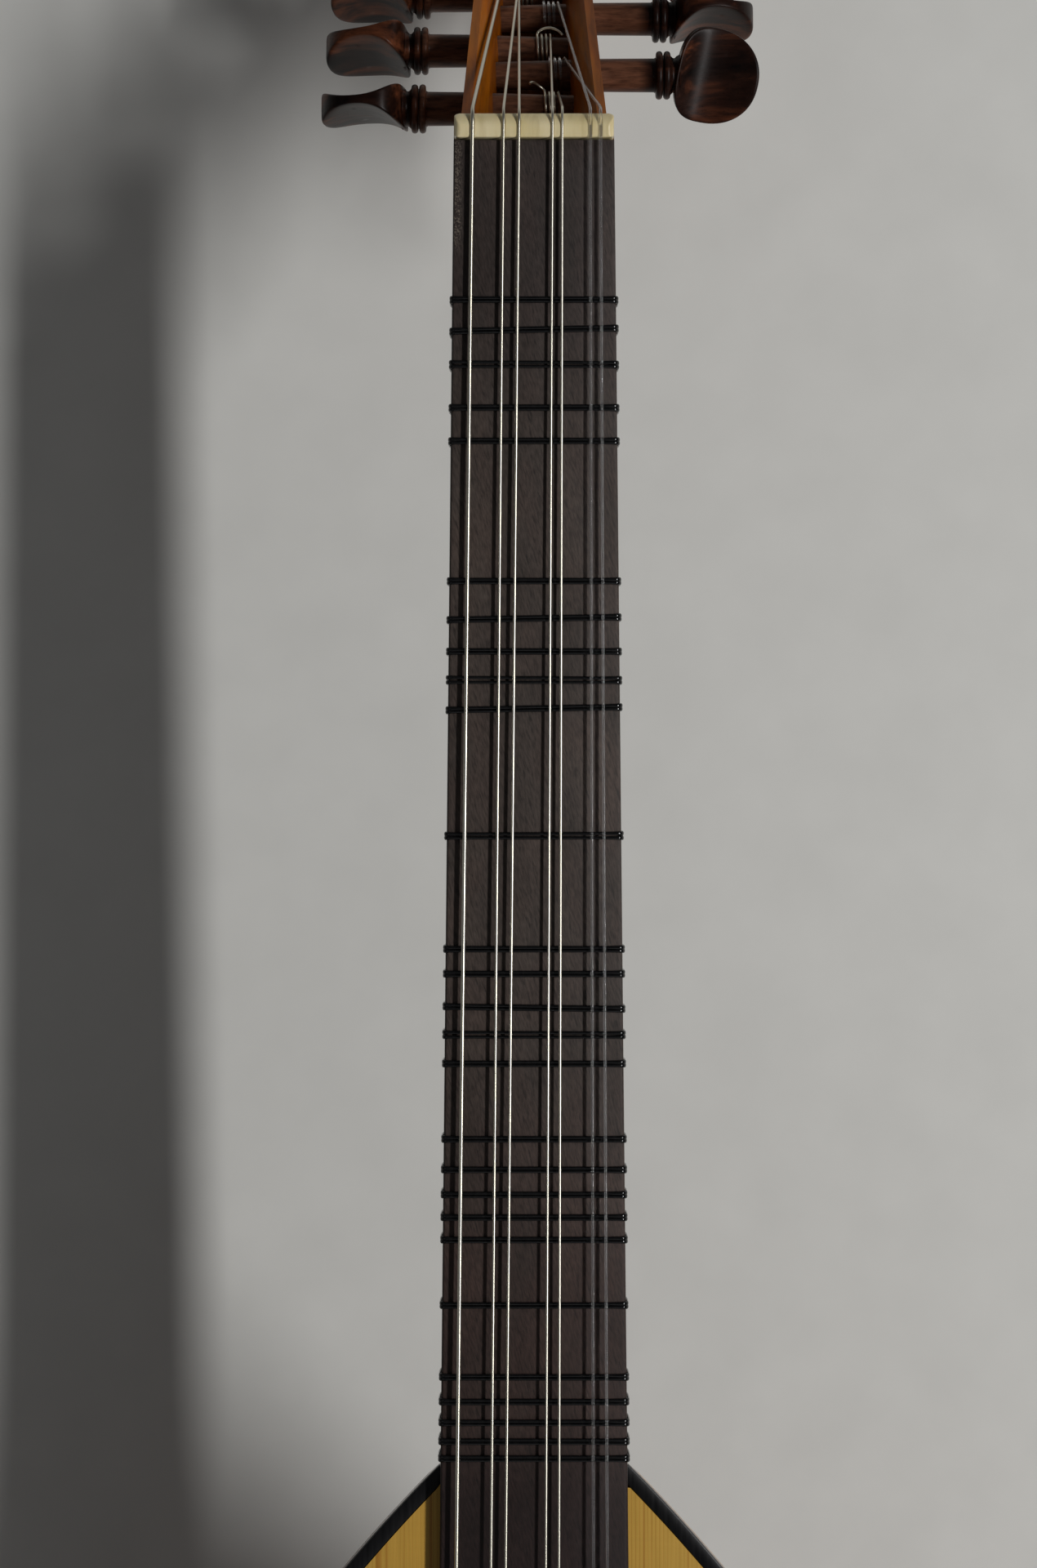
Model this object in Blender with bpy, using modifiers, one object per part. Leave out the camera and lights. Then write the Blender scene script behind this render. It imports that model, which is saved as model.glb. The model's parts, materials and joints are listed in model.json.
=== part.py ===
"""A seven-string lavta, a long-necked lute with a ribbed bowl and tied frets, lying on its back.

Every piece is its own object. They are modelled in the instrument's own frame and hang from one empty:
Y runs along the strings from the bridge to the pegs, with 0 at the front of the nut, X runs from the bass
side to the treble side, and Z is 0 in the plane of the soundboard's top. The empty then stands the whole
instrument on the floor at Z 0, resting on the deepest rib of the bowl and on the end of the pegbox.
"""

import math

import bmesh
import bpy
from mathutils import Matrix, Vector

MM = 0.001
FIT = 0.3 * MM  # the gap between two pieces that are glued or rest on each other

# Strings
SCALE_LENGTH = 680 * MM  # from the front of the nut to the front of the bridge
STRING_Z_AT_NUT = 6.8 * MM
STRING_Z_AT_BRIDGE = 9.5 * MM
STRING_DIAMETERS = [1.0 * MM, 0.75 * MM, 0.75 * MM, 0.65 * MM, 0.65 * MM, 0.75 * MM, 0.75 * MM]
STRING_X_AT_NUT = [-15.1 * MM, -7.5 * MM, -3.7 * MM, 4.5 * MM, 6.9 * MM, 13.8 * MM, 16.3 * MM]
STRING_X_AT_BRIDGE = [-22.6 * MM, -13.4 * MM, -10.0 * MM, 1.3 * MM, 5.3 * MM, 15.2 * MM, 19.5 * MM]
WINDING_TURNS = 3
WINDING_SPACE = 0.5 * MM  # clear space between two turns on a peg
POINTS_PER_TURN = 16

# Body
BODY_LENGTH = 434 * MM
BODY_HALF_WIDTH = 150 * MM
SHOULDER_HALF_WIDTH = 23.3 * MM
WIDEST_FROM_JOIN = 269 * MM
BOWL_THICKNESS = 2.5 * MM
RIB_COUNT = 17
STATIONS_TO_WIDEST = 8
STATIONS_TO_TAIL = 7
BLOCK_STATIONS = 2  # stations of the bowl that the neck block fills
TAIL_STATIONS = 2  # stations of the bowl that the tail block fills
CAP_STATIONS = 2  # stations of the bowl that the tail cap covers
CAP_THICKNESS = 2.0 * MM
SOUNDBOARD_THICKNESS = 2.0 * MM
EDGING_WIDTH = 3.5 * MM
SOUND_HOLE_DIAMETER = 84 * MM
SOUND_HOLE_FROM_JOIN = 169 * MM
ROSETTE_LAP = 2.0 * MM  # how far the rosette reaches under the soundboard, all round
ROSETTE_THICKNESS = 1.7 * MM
ROSETTE_RINGS = 3  # rings of openings around the middle one, each with six more than the last
ROSETTE_OPENING = 2.6 * MM  # from the middle of an opening to its points
BRACE_WIDTH = 6.0 * MM
BRACE_HEIGHT = 12.0 * MM
BRACES_FROM_JOIN = [74 * MM, 112 * MM, 226 * MM, 302 * MM]

# Bridge
BRIDGE_DEPTH = 12.5 * MM
BRIDGE_HEIGHT = 12.0 * MM
BRIDGE_BLOCK_LENGTH = 62 * MM
BRIDGE_LENGTH = 116 * MM
BRIDGE_TIP_DEPTH = 6.0 * MM
BRIDGE_TIP_HEIGHT = 2.2 * MM

# Neck and fingerboard
LAST_FRET_TO_BODY = 2.7 * MM
NECK_HALF_WIDTH_AT_NUT = 19.7 * MM
NECK_TAPER = 0.00993  # growth of the half width for each unit of length toward the body
NECK_DEPTH_AT_NUT = 18.0 * MM
NECK_DEPTH_AT_BODY = 25.0 * MM
FINGERBOARD_THICKNESS = 4.5 * MM
FINGERBOARD_OVER_BODY = 70 * MM  # how far it runs on past the end of the neck
FINGERBOARD_EDGE = 0.5 * MM  # bevel along its top edges
FINGERBOARD_TIP = 12 * MM  # length of its curved end
NECK_ROUND_STEPS = 6

# Nut
NUT_LENGTH = 6.2 * MM  # along the strings
NUT_HEIGHT = 6.7 * MM
NUT_HALF_WIDTH = 19.6 * MM
NUT_CROWN = 0.6 * MM  # rounding of the front top edge

# Pegbox
PEGBOX_ANGLE = math.radians(50)  # how far it leans back from the neck
PEGBOX_LENGTH = 150 * MM
PEGBOX_HALF_WIDTH = 17.9 * MM
PEGBOX_NARROWING = 0.04  # loss of half width for each unit of length
PEGBOX_DEPTH = 26 * MM
PEGBOX_SHALLOWING = 0.04  # loss of depth for each unit of length
CHEEK_TOP_THICKNESS = 2.3 * MM
CHEEK_THICKNESS = 6.8 * MM
CHEEK_SLOPE_DEPTH = 11 * MM  # depth at which a cheek reaches its full thickness
PEGBOX_BACK_THICKNESS = 4.0 * MM
FINIAL_HALF_WIDTH = 8.5 * MM
FINIAL_DEPTH = 12 * MM
FINIAL_DROP = 2.0 * MM  # how far its far top edge lies under the cheeks' top edges

# Pegs
PEG_SIDES = 12
FIRST_PEG_FROM_NUT = 25.6 * MM  # along the pegbox
LAST_PEG_FROM_END = 36.0 * MM
TREBLE_PEG_SHARE = 0.573  # of the way from one bass peg to the next
PEG_RADIUS_AT_COLLAR = 4.2 * MM
PEG_RADIUS_AT_TIP = 3.25 * MM
PEG_RUNNING_GAP = 0.1 * MM  # all round, in the holes of the cheeks
BASS_HEADS_OUT = 35.9 * MM  # from the pegbox's widest place to the heads' outer ends, which line up
TREBLE_HEADS_OUT = 40.2 * MM
PEG_RING_RADIUS = 6.1 * MM
PEG_RING_WIDTH = 1.7 * MM
PEG_RING_SPACING = 0.3 * MM
PEG_GROOVE_RADIUS = 5.1 * MM  # between the rings
PEG_NECK_RADIUS = 4.5 * MM
PEG_NECK_LENGTH = 2.0 * MM  # from the second ring to the head
PEG_HEAD_LENGTH = 20.5 * MM
PEG_HEAD_WIDTH = 24.2 * MM
PEG_HEAD_SHOULDER = 12.0 * MM  # thickness beside the rings
PEG_HEAD_WAIST = 2.4 * MM  # where the hollows of the two faces come closest
PEG_HEAD_EDGE = 8.2 * MM  # thickness at the outer end
PEG_HEAD_SQUARENESS = 0.5  # of a head's section: 1 is an ellipse, 0 a rectangle

# Frets
FRET_CENTS = [  # pitch of each tied fret above the open string
    104, 124, 146, 175, 199,
    301, 329, 354, 376, 397,
    501,
    598, 620, 649, 674, 702,
    774, 804, 829, 852, 875,
    944,
    1023, 1051, 1075, 1097, 1117,
]  # fmt: skip
FRET_TILTS = {2: 1.1, 7: 0.9, 10: 1.0, 14: -0.8}  # degrees, for those that are tied a little askew
FRET_WIDTH = 1.5 * MM  # two strands side by side
FRET_HEIGHT = 0.75 * MM

# Each peg: the side that its head is on, its place in its row counted from the nut, and its head's turn
PEGS = {
    "peg_bass_1": (-1, 0, math.radians(88)),
    "peg_bass_2": (-1, 1, math.radians(75)),
    "peg_bass_3": (-1, 2, math.radians(72)),
    "peg_bass_4": (-1, 3, math.radians(55)),
    "peg_treble_1": (1, 0, math.radians(16)),
    "peg_treble_2": (1, 1, math.radians(80)),
    "peg_treble_3": (1, 2, math.radians(35)),
}
BASS_PEG_COUNT = 4
# Each string, from the bass side: its peg, and where across the pegbox its winding starts
STRING_PEGS = [
    "peg_treble_3",
    "peg_bass_4",
    "peg_bass_3",
    "peg_bass_2",
    "peg_bass_1",
    "peg_treble_2",
    "peg_treble_1",
]
WINDING_X = [-6.3 * MM, -2.0 * MM, -3.7 * MM, 4.5 * MM, 6.3 * MM, 6.6 * MM, 8.0 * MM]


def fret_places():
    """How far each fret lies from the nut."""
    return [SCALE_LENGTH * (1 - 2 ** (-cents / 1200)) for cents in FRET_CENTS]


BODY_JOIN_Y = -fret_places()[-1] - LAST_FRET_TO_BODY  # where the neck meets the bowl


# Materials and objects


def material(name, colour, roughness, metallic=0.0):
    made = bpy.data.materials.new(name)
    made.use_nodes = True
    shader = made.node_tree.nodes["Principled BSDF"]
    shader.inputs["Base Color"].default_value = (*colour, 1.0)
    shader.inputs["Roughness"].default_value = roughness
    shader.inputs["Metallic"].default_value = metallic
    return made


def start_scene():
    """Empties the scene and makes the collections and the empty that everything hangs from."""
    for old in list(bpy.data.objects):
        bpy.data.objects.remove(old, do_unlink=True)
    lavta = bpy.data.collections.new("lavta")
    cutters = bpy.data.collections.new("cutters")
    bpy.context.scene.collection.children.link(lavta)
    bpy.context.scene.collection.children.link(cutters)
    frame = bpy.data.objects.new("instrument_frame", None)
    lavta.objects.link(frame)
    return lavta, cutters, frame


lavta, cutters, instrument_frame = start_scene()
spruce = material("spruce", (0.61, 0.36, 0.11), 0.45)
rib_wood = material("rib_wood", (0.20, 0.08, 0.03), 0.35)
black_wood = material("black_wood", (0.012, 0.011, 0.012), 0.4)
fingerboard_wood = material("fingerboard_wood", (0.045, 0.032, 0.03), 0.55)
neck_wood = material("neck_wood", (0.16, 0.07, 0.03), 0.4)
bone = material("bone", (0.68, 0.60, 0.38), 0.35)
amber_wood = material("amber_wood", (0.30, 0.12, 0.02), 0.3)
peg_wood = material("peg_wood", (0.03, 0.012, 0.008), 0.35)
inner_wood = material("inner_wood", (0.45, 0.30, 0.16), 0.7)
wound_silver = material("wound_silver", (0.62, 0.60, 0.55), 0.3, 1.0)
clear_nylon = material("clear_nylon", (0.55, 0.53, 0.50), 0.25)
black_nylon = material("black_nylon", (0.006, 0.006, 0.007), 0.25)


def add(name, mesh, surface, smooth_below=40):
    """Adds a mesh as one named piece of the instrument."""
    piece = bpy.data.objects.new(name, mesh)
    lavta.objects.link(piece)
    piece.parent = instrument_frame
    mesh.materials.clear()
    mesh.materials.append(surface)
    mesh.shade_smooth()
    mesh.set_sharp_from_angle(angle=math.radians(smooth_below))
    return piece


def loft(name, rings, pole=None):
    """A closed solid through rings of equally many points, capped flat, or drawn to a pole at its far end."""
    mesh = bpy.data.meshes.new(name)
    shape = bmesh.new()
    rows = [[shape.verts.new(point) for point in ring] for ring in rings]
    count = len(rows[0])
    for row, following in zip(rows, rows[1:]):
        for i in range(count):
            j = (i + 1) % count
            shape.faces.new((row[i], row[j], following[j], following[i]))
    shape.faces.new(rows[0])
    if pole is None:
        shape.faces.new(rows[-1])
    else:
        tip = shape.verts.new(pole)
        for i in range(count):
            shape.faces.new((rows[-1][i], rows[-1][(i + 1) % count], tip))
    bmesh.ops.recalc_face_normals(shape, faces=shape.faces)
    shape.to_mesh(mesh)
    shape.free()
    return mesh


def curve_mesh(name, curve):
    """The welded mesh of a curve, which Booleans can then use."""
    holder = bpy.data.objects.new(name, curve)
    lavta.objects.link(holder)
    evaluated = holder.evaluated_get(bpy.context.evaluated_depsgraph_get())
    mesh = bpy.data.meshes.new_from_object(evaluated)
    bpy.data.objects.remove(holder, do_unlink=True)
    shape = bmesh.new()
    shape.from_mesh(mesh)
    bmesh.ops.remove_doubles(shape, verts=shape.verts, dist=0.0001 * MM)
    bmesh.ops.recalc_face_normals(shape, faces=shape.faces)
    shape.to_mesh(mesh)
    shape.free()
    mesh.name = name
    return mesh


def plate(name, outlines, bottom, top):
    """A flat plate between two heights. The first outline is its edge, and the others are holes."""
    curve = bpy.data.curves.new(name, "CURVE")
    curve.dimensions = "2D"
    curve.fill_mode = "BOTH"
    curve.extrude = (top - bottom) / 2
    for outline in outlines:
        spline = curve.splines.new("POLY")
        spline.points.add(len(outline) - 1)
        for point, (x, y) in zip(spline.points, outline):
            point.co = (x, y, 0, 1)
        spline.use_cyclic_u = True
    mesh = curve_mesh(name, curve)
    mesh.transform(Matrix.Translation((0, 0, (top + bottom) / 2)))
    return mesh


def tube(name, points, radius):
    """A round wire along a route, with filled ends."""
    curve = bpy.data.curves.new(name, "CURVE")
    curve.dimensions = "3D"
    curve.bevel_depth = radius
    curve.bevel_resolution = 1
    curve.use_fill_caps = True
    spline = curve.splines.new("POLY")
    spline.points.add(len(points) - 1)
    for point, place in zip(spline.points, points):
        point.co = (*place, 1)
    return curve_mesh(name, curve)


def cut(piece, name, mesh):
    """Takes the shape of a mesh out of a piece."""
    cutter = bpy.data.objects.new(name, mesh)
    cutters.objects.link(cutter)
    cutter.parent = instrument_frame
    cutter.hide_render = True
    cutter.display_type = "WIRE"
    hole = piece.modifiers.new(name, "BOOLEAN")
    hole.operation = "DIFFERENCE"
    hole.solver = "EXACT"
    hole.object = cutter


def ellipse(centre, radius_x, radius_y, count):
    return [
        (
            centre[0] + radius_x * math.cos(2 * math.pi * i / count),
            centre[1] + radius_y * math.sin(2 * math.pi * i / count),
        )
        for i in range(count)
    ]


# Body outline


def bezier(points, t):
    """A point on a cubic curve, and its direction."""
    a, b, c, d = (Vector(p) for p in points)
    s = 1 - t
    place = a * s**3 + b * 3 * s * s * t + c * 3 * s * t * t + d * t**3
    slope = (b - a) * s * s + (c - b) * 2 * s * t + (d - c) * t * t
    return place, slope.normalized()


def half_outline(outset):
    """The treble half of the body's outline from the neck to the tail, moved out by a distance."""
    widest = (BODY_HALF_WIDTH, BODY_JOIN_Y - WIDEST_FROM_JOIN)
    tail = (0.0, BODY_JOIN_Y - BODY_LENGTH)
    reach = BODY_HALF_WIDTH - SHOULDER_HALF_WIDTH
    after_widest = BODY_LENGTH - WIDEST_FROM_JOIN
    shoulder = [
        (SHOULDER_HALF_WIDTH, BODY_JOIN_Y),
        (SHOULDER_HALF_WIDTH + 0.503 * reach, BODY_JOIN_Y - 0.238 * WIDEST_FROM_JOIN),
        (BODY_HALF_WIDTH, BODY_JOIN_Y - 0.647 * WIDEST_FROM_JOIN),
        widest,
    ]
    bottom = [
        widest,
        (BODY_HALF_WIDTH, widest[1] - 0.576 * after_widest),
        (0.567 * BODY_HALF_WIDTH, tail[1]),
        tail,
    ]
    spots = [(shoulder, i / STATIONS_TO_WIDEST) for i in range(STATIONS_TO_WIDEST)]
    spots += [(bottom, i / STATIONS_TO_TAIL) for i in range(STATIONS_TO_TAIL + 1)]
    points = []
    for segment, t in spots:
        place, along = bezier(segment, t)
        points.append((place.x - along.y * outset, place.y + along.x * outset))
    points[-1] = (0.0, points[-1][1])
    return points


def whole_outline(outset):
    """The body's outline from the bass side of the neck, round the tail, to the treble side."""
    treble = half_outline(outset)
    bass = [(-x, y) for x, y in treble[:-1]]
    return bass + treble[::-1]


RIM_Z = -SOUNDBOARD_THICKNESS - FIT
RIB_ANGLES = [math.pi * i / RIB_COUNT for i in range(RIB_COUNT + 1)]


def arch(half_width, y):
    """The bowl's half round at one station, from the treble rim down and round to the bass rim."""
    return [
        (half_width * math.cos(a), y, RIM_Z - half_width * math.sin(a)) for a in RIB_ANGLES
    ]


def shell(name, outer, inner):
    """The part of a ribbed bowl between an outer and an inner half outline that both end at the tail."""
    mesh = bpy.data.meshes.new(name)
    shape = bmesh.new()
    skins = []
    for outline in (outer, inner):
        rows = [[shape.verts.new(p) for p in arch(x, y)] for x, y in outline[:-1]]
        pole = shape.verts.new((0.0, outline[-1][1], RIM_Z))
        skins.append((rows, pole))
        for row, following in zip(rows, rows[1:]):
            for i in range(RIB_COUNT):
                shape.faces.new((row[i], row[i + 1], following[i + 1], following[i]))
        for i in range(RIB_COUNT):
            shape.faces.new((rows[-1][i], rows[-1][i + 1], pole))
    (outer_rows, outer_pole), (inner_rows, inner_pole) = skins
    for side in (0, RIB_COUNT):
        outer_rim = [row[side] for row in outer_rows] + [outer_pole]
        inner_rim = [row[side] for row in inner_rows] + [inner_pole]
        for i in range(len(outer_rim) - 1):
            shape.faces.new((outer_rim[i], outer_rim[i + 1], inner_rim[i + 1], inner_rim[i]))
    for i in range(RIB_COUNT):
        shape.faces.new((outer_rows[0][i], outer_rows[0][i + 1], inner_rows[0][i + 1], inner_rows[0][i]))
    bmesh.ops.recalc_face_normals(shape, faces=shape.faces)
    shape.to_mesh(mesh)
    shape.free()
    return mesh


# Body pieces


def make_bowl():
    outer = half_outline(0.0)
    inner = half_outline(-BOWL_THICKNESS)
    outer[0] = (outer[0][0], BODY_JOIN_Y - FIT)
    inner[0] = (inner[0][0], BODY_JOIN_Y - FIT)
    add("bowl", shell("bowl", outer, inner), rib_wood, smooth_below=3)
    cap_outer = half_outline(FIT + CAP_THICKNESS)[-CAP_STATIONS - 1 :]
    cap_inner = half_outline(FIT)[-CAP_STATIONS - 1 :]
    add("tail_cap", shell("tail_cap", cap_outer, cap_inner), black_wood)
    lining = half_outline(-BOWL_THICKNESS - FIT)
    lining[0] = (lining[0][0], BODY_JOIN_Y - FIT)
    neck_rings = [arch(x, y) for x, y in lining[: BLOCK_STATIONS + 1]]
    add("neck_block", loft("neck_block", neck_rings), inner_wood)
    tail_rings = [arch(x, y) for x, y in lining[-TAIL_STATIONS - 1 : -1]]
    tail_tip = (0.0, lining[-1][1], RIM_Z)
    add("tail_block", loft("tail_block", tail_rings, tail_tip), inner_wood)


def sound_hole_centre():
    return (0.0, BODY_JOIN_Y - SOUND_HOLE_FROM_JOIN)


def make_soundboard():
    board_edge = whole_outline(-EDGING_WIDTH - FIT)
    hole = ellipse(sound_hole_centre(), SOUND_HOLE_DIAMETER / 2, SOUND_HOLE_DIAMETER / 2, 32)
    board = plate("soundboard", [board_edge, hole], -SOUNDBOARD_THICKNESS, 0.0)
    add("soundboard", board, spruce)
    strip = whole_outline(0.0) + whole_outline(-EDGING_WIDTH)[::-1]
    add("edging", plate("edging", [strip], -SOUNDBOARD_THICKNESS, 0.0), black_wood)


def make_rosette():
    """A pierced disc with rings of lozenges, let in under the sound hole."""
    centre = sound_hole_centre()
    radius = SOUND_HOLE_DIAMETER / 2 + ROSETTE_LAP
    pitch = (SOUND_HOLE_DIAMETER / 2 - ROSETTE_OPENING) / (ROSETTE_RINGS + 0.5)
    outlines = [ellipse(centre, radius, radius, 32)]
    outlines.append(ellipse(centre, ROSETTE_OPENING, ROSETTE_OPENING, 4))
    for ring in range(1, ROSETTE_RINGS + 1):
        for i in range(6 * ring):
            angle = 2 * math.pi * (i + 0.5 * (ring % 2)) / (6 * ring)
            spot = (
                centre[0] + ring * pitch * math.cos(angle),
                centre[1] + ring * pitch * math.sin(angle),
            )
            outlines.append(ellipse(spot, ROSETTE_OPENING, ROSETTE_OPENING, 4))
    top = RIM_Z
    rosette = plate("rosette", outlines, top - ROSETTE_THICKNESS, top)
    add("rosette", rosette, black_wood)


def bowl_room(y, depth):
    """Half the clear width inside the bowl at a place along it, at a depth under its rim."""
    lining = half_outline(-BOWL_THICKNESS - FIT)
    for (x0, y0), (x1, y1) in zip(lining, lining[1:]):
        if y1 <= y <= y0:
            half_width = x0 + (x1 - x0) * (y0 - y) / (y0 - y1)
            inscribed = half_width * math.cos(math.pi / RIB_COUNT / 2)
            return math.sqrt(inscribed**2 - depth**2)
    return 0.0


def make_braces():
    """Bars across the inside of the soundboard, cut off slanting where the bowl closes in."""
    for number, distance in enumerate(BRACES_FROM_JOIN, 1):
        y = BODY_JOIN_Y - distance
        edges = (y - BRACE_WIDTH / 2, y + BRACE_WIDTH / 2)
        top_reach = min(bowl_room(edge, 0.0) for edge in edges) - FIT
        low_reach = min(bowl_room(edge, BRACE_HEIGHT) for edge in edges) - 2 * FIT
        low_z = RIM_Z - BRACE_HEIGHT
        rings = [
            [(-top_reach, edge, RIM_Z), (top_reach, edge, RIM_Z), (low_reach, edge, low_z), (-low_reach, edge, low_z)]
            for edge in edges
        ]
        name = f"brace_{number}"
        add(name, loft(name, rings), inner_wood)


# Bridge

BRIDGE_FRONT_Y = -SCALE_LENGTH
BRIDGE_TOP_Z = FIT + BRIDGE_HEIGHT


def make_bridge():
    """A block with drilled string holes and thin tapered tips, glued on the soundboard."""
    middle = BRIDGE_FRONT_Y - BRIDGE_DEPTH / 2
    block = BRIDGE_BLOCK_LENGTH / 2
    slope = (BRIDGE_LENGTH - BRIDGE_BLOCK_LENGTH) / 2
    sections = [  # distance from the middle, depth and height
        (block + slope, BRIDGE_TIP_DEPTH, BRIDGE_TIP_HEIGHT),
        (block + 0.45 * slope, 0.5 * (BRIDGE_TIP_DEPTH + BRIDGE_DEPTH), 1.5 * BRIDGE_TIP_HEIGHT),
        (block + 0.1 * slope, BRIDGE_DEPTH, 0.5 * BRIDGE_HEIGHT),
        (block, BRIDGE_DEPTH, BRIDGE_HEIGHT),
    ]
    rings = []
    for sign in (-1, 1):
        for distance, depth, height in sections if sign < 0 else sections[::-1]:
            x = sign * distance
            rings.append(
                [
                    (x, middle - depth / 2, FIT),
                    (x, middle + depth / 2, FIT),
                    (x, middle + depth / 2, FIT + height),
                    (x, middle - depth / 2, FIT + height),
                ]
            )
    bridge = add("bridge", loft("bridge", rings), black_wood)
    for number, (x, diameter) in enumerate(zip(STRING_X_AT_BRIDGE, STRING_DIAMETERS), 1):
        name = f"bridge_hole_{number}"
        ends = [
            (x, BRIDGE_FRONT_Y + BRIDGE_DEPTH, STRING_Z_AT_BRIDGE),
            (x, BRIDGE_FRONT_Y - 2 * BRIDGE_DEPTH, STRING_Z_AT_BRIDGE),
        ]
        cut(bridge, name, tube(name, ends, diameter / 2 + FIT))


# Neck, fingerboard and nut


def neck_half_width(y):
    return NECK_HALF_WIDTH_AT_NUT - NECK_TAPER * y


def neck_depth(y):
    share = min(max(y / BODY_JOIN_Y, 0.0), 1.0)
    return NECK_DEPTH_AT_NUT + (NECK_DEPTH_AT_BODY - NECK_DEPTH_AT_NUT) * share


def neck_round(y):
    """The rounded back of the neck at a place along it, from the treble side to the bass side."""
    angles = [math.pi * i / NECK_ROUND_STEPS for i in range(NECK_ROUND_STEPS + 1)]
    return [(neck_half_width(y) * math.cos(a), -neck_depth(y) * math.sin(a)) for a in angles]


def pegbox_point(x, along, up):
    """A place in the pegbox, from its distance along the pegbox and up from its cheeks' top edges."""
    cos, sin = math.cos(PEGBOX_ANGLE), math.sin(PEGBOX_ANGLE)
    return (x, NUT_LENGTH + FIT + along * cos + up * sin, -along * sin + up * cos)


def make_neck():
    """A rounded neck whose end is cut slanting, where the pegbox is glued on."""
    slant = math.tan(PEGBOX_ANGLE)
    end_y = NUT_LENGTH + FIT - FIT / math.cos(PEGBOX_ANGLE)
    end_ring = [(x, end_y + z * slant, z) for x, z in neck_round(0.0)]
    full_ring_y = end_y - 1.5 * NECK_DEPTH_AT_NUT * slant
    rings = [end_ring]
    rings.append([(x, full_ring_y, z) for x, z in neck_round(full_ring_y)])
    rings.append([(x, BODY_JOIN_Y, z) for x, z in neck_round(BODY_JOIN_Y)])
    add("neck", loft("neck", rings), neck_wood)


def make_fingerboard():
    """A tapered board with an ogee end that runs on over the soundboard."""
    end = BODY_JOIN_Y - FINGERBOARD_OVER_BODY
    start = -FIT
    side_end = end + FINGERBOARD_TIP
    half = neck_half_width(side_end)
    tip = [
        (half, side_end),
        (0.82 * half, side_end - 0.25 * FINGERBOARD_TIP),
        (0.60 * half, side_end - 0.20 * FINGERBOARD_TIP),
        (0.36 * half, side_end - 0.42 * FINGERBOARD_TIP),
        (0.16 * half, side_end - 0.85 * FINGERBOARD_TIP),
        (0.0, end),
    ]
    treble = [(neck_half_width(start), start)] + tip
    outline = treble + [(-x, y) for x, y in treble[-2::-1]]
    board = add(
        "fingerboard",
        plate("fingerboard", [outline], FIT, FIT + FINGERBOARD_THICKNESS),
        fingerboard_wood,
    )
    bevel = board.modifiers.new("edge", "BEVEL")
    bevel.width = FINGERBOARD_EDGE
    bevel.segments = 1
    bevel.limit_method = "ANGLE"
    bevel.angle_limit = math.radians(60)


def make_nut():
    """A bone nut with a slot for each string, set on the end of the neck."""
    top = FIT + NUT_HEIGHT
    profile = [  # along the strings, and up
        (0.0, FIT),
        (NUT_LENGTH, FIT),
        (NUT_LENGTH, FIT + 0.58 * NUT_HEIGHT),
        (0.84 * NUT_LENGTH, FIT + 0.82 * NUT_HEIGHT),
        (0.52 * NUT_LENGTH, top),
        (NUT_CROWN, top),
        (0.0, top - NUT_CROWN),
    ]
    rings = []
    for x in (-NUT_HALF_WIDTH, NUT_HALF_WIDTH):
        rings.append([(x, y, z) for y, z in profile])
    nut = add("nut", loft("nut", rings), bone)
    for number in range(len(STRING_PEGS)):
        name = f"nut_slot_{number + 1}"
        cut(nut, name, tube(name, nut_route(number), STRING_DIAMETERS[number] / 2 + FIT))


# Pegbox


def pegbox_half_width(along):
    return PEGBOX_HALF_WIDTH - PEGBOX_NARROWING * along


def pegbox_depth(along):
    return PEGBOX_DEPTH - PEGBOX_SHALLOWING * along


def peg_along(name):
    """A peg's distance along the pegbox. Those on the treble side stand between those on the bass side."""
    side, place, turn = PEGS[name]
    pitch = (PEGBOX_LENGTH - FIRST_PEG_FROM_NUT - LAST_PEG_FROM_END) / (BASS_PEG_COUNT - 1)
    return FIRST_PEG_FROM_NUT + pitch * (place if side < 0 else place + TREBLE_PEG_SHARE)


def peg_axis(name):
    """Where a peg's axis lies: its distance along the pegbox, and up from the cheeks' top edges."""
    along = peg_along(name)
    return along, -pegbox_depth(along) / 2


def make_pegbox():
    ends = (0.0, PEGBOX_LENGTH)
    for side, label in ((-1, "bass"), (1, "treble")):
        rings = []
        for along in ends:
            outer = pegbox_half_width(along)
            floor = -pegbox_depth(along) + PEGBOX_BACK_THICKNESS + FIT
            section = [
                (outer, 0.0),
                (outer, floor),
                (outer - CHEEK_THICKNESS, floor),
                (outer - CHEEK_THICKNESS, -CHEEK_SLOPE_DEPTH),
                (outer - CHEEK_TOP_THICKNESS, 0.0),
            ]
            rings.append([pegbox_point(side * x, along, up) for x, up in section])
        cheek = add(f"pegbox_cheek_{label}", loft(f"pegbox_cheek_{label}", rings), amber_wood)
        for name in PEGS:
            cutter_name = f"hole_{label}_{name}"
            cut(cheek, cutter_name, peg_hole(name, cutter_name))
    rings = []
    for along in ends:
        half, depth = pegbox_half_width(along), pegbox_depth(along)
        corners = [(-half, -depth), (half, -depth), (half, PEGBOX_BACK_THICKNESS - depth)]
        corners.append((-half, PEGBOX_BACK_THICKNESS - depth))
        rings.append([pegbox_point(x, along, up) for x, up in corners])
    add("pegbox_back", loft("pegbox_back", rings), amber_wood)


def rest_depth():
    """How far the bowl's deepest rib lies under the soundboard's top."""
    middle_rib = math.cos(math.pi / RIB_COUNT / 2)
    return -RIM_Z + BODY_HALF_WIDTH * middle_rib


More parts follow.
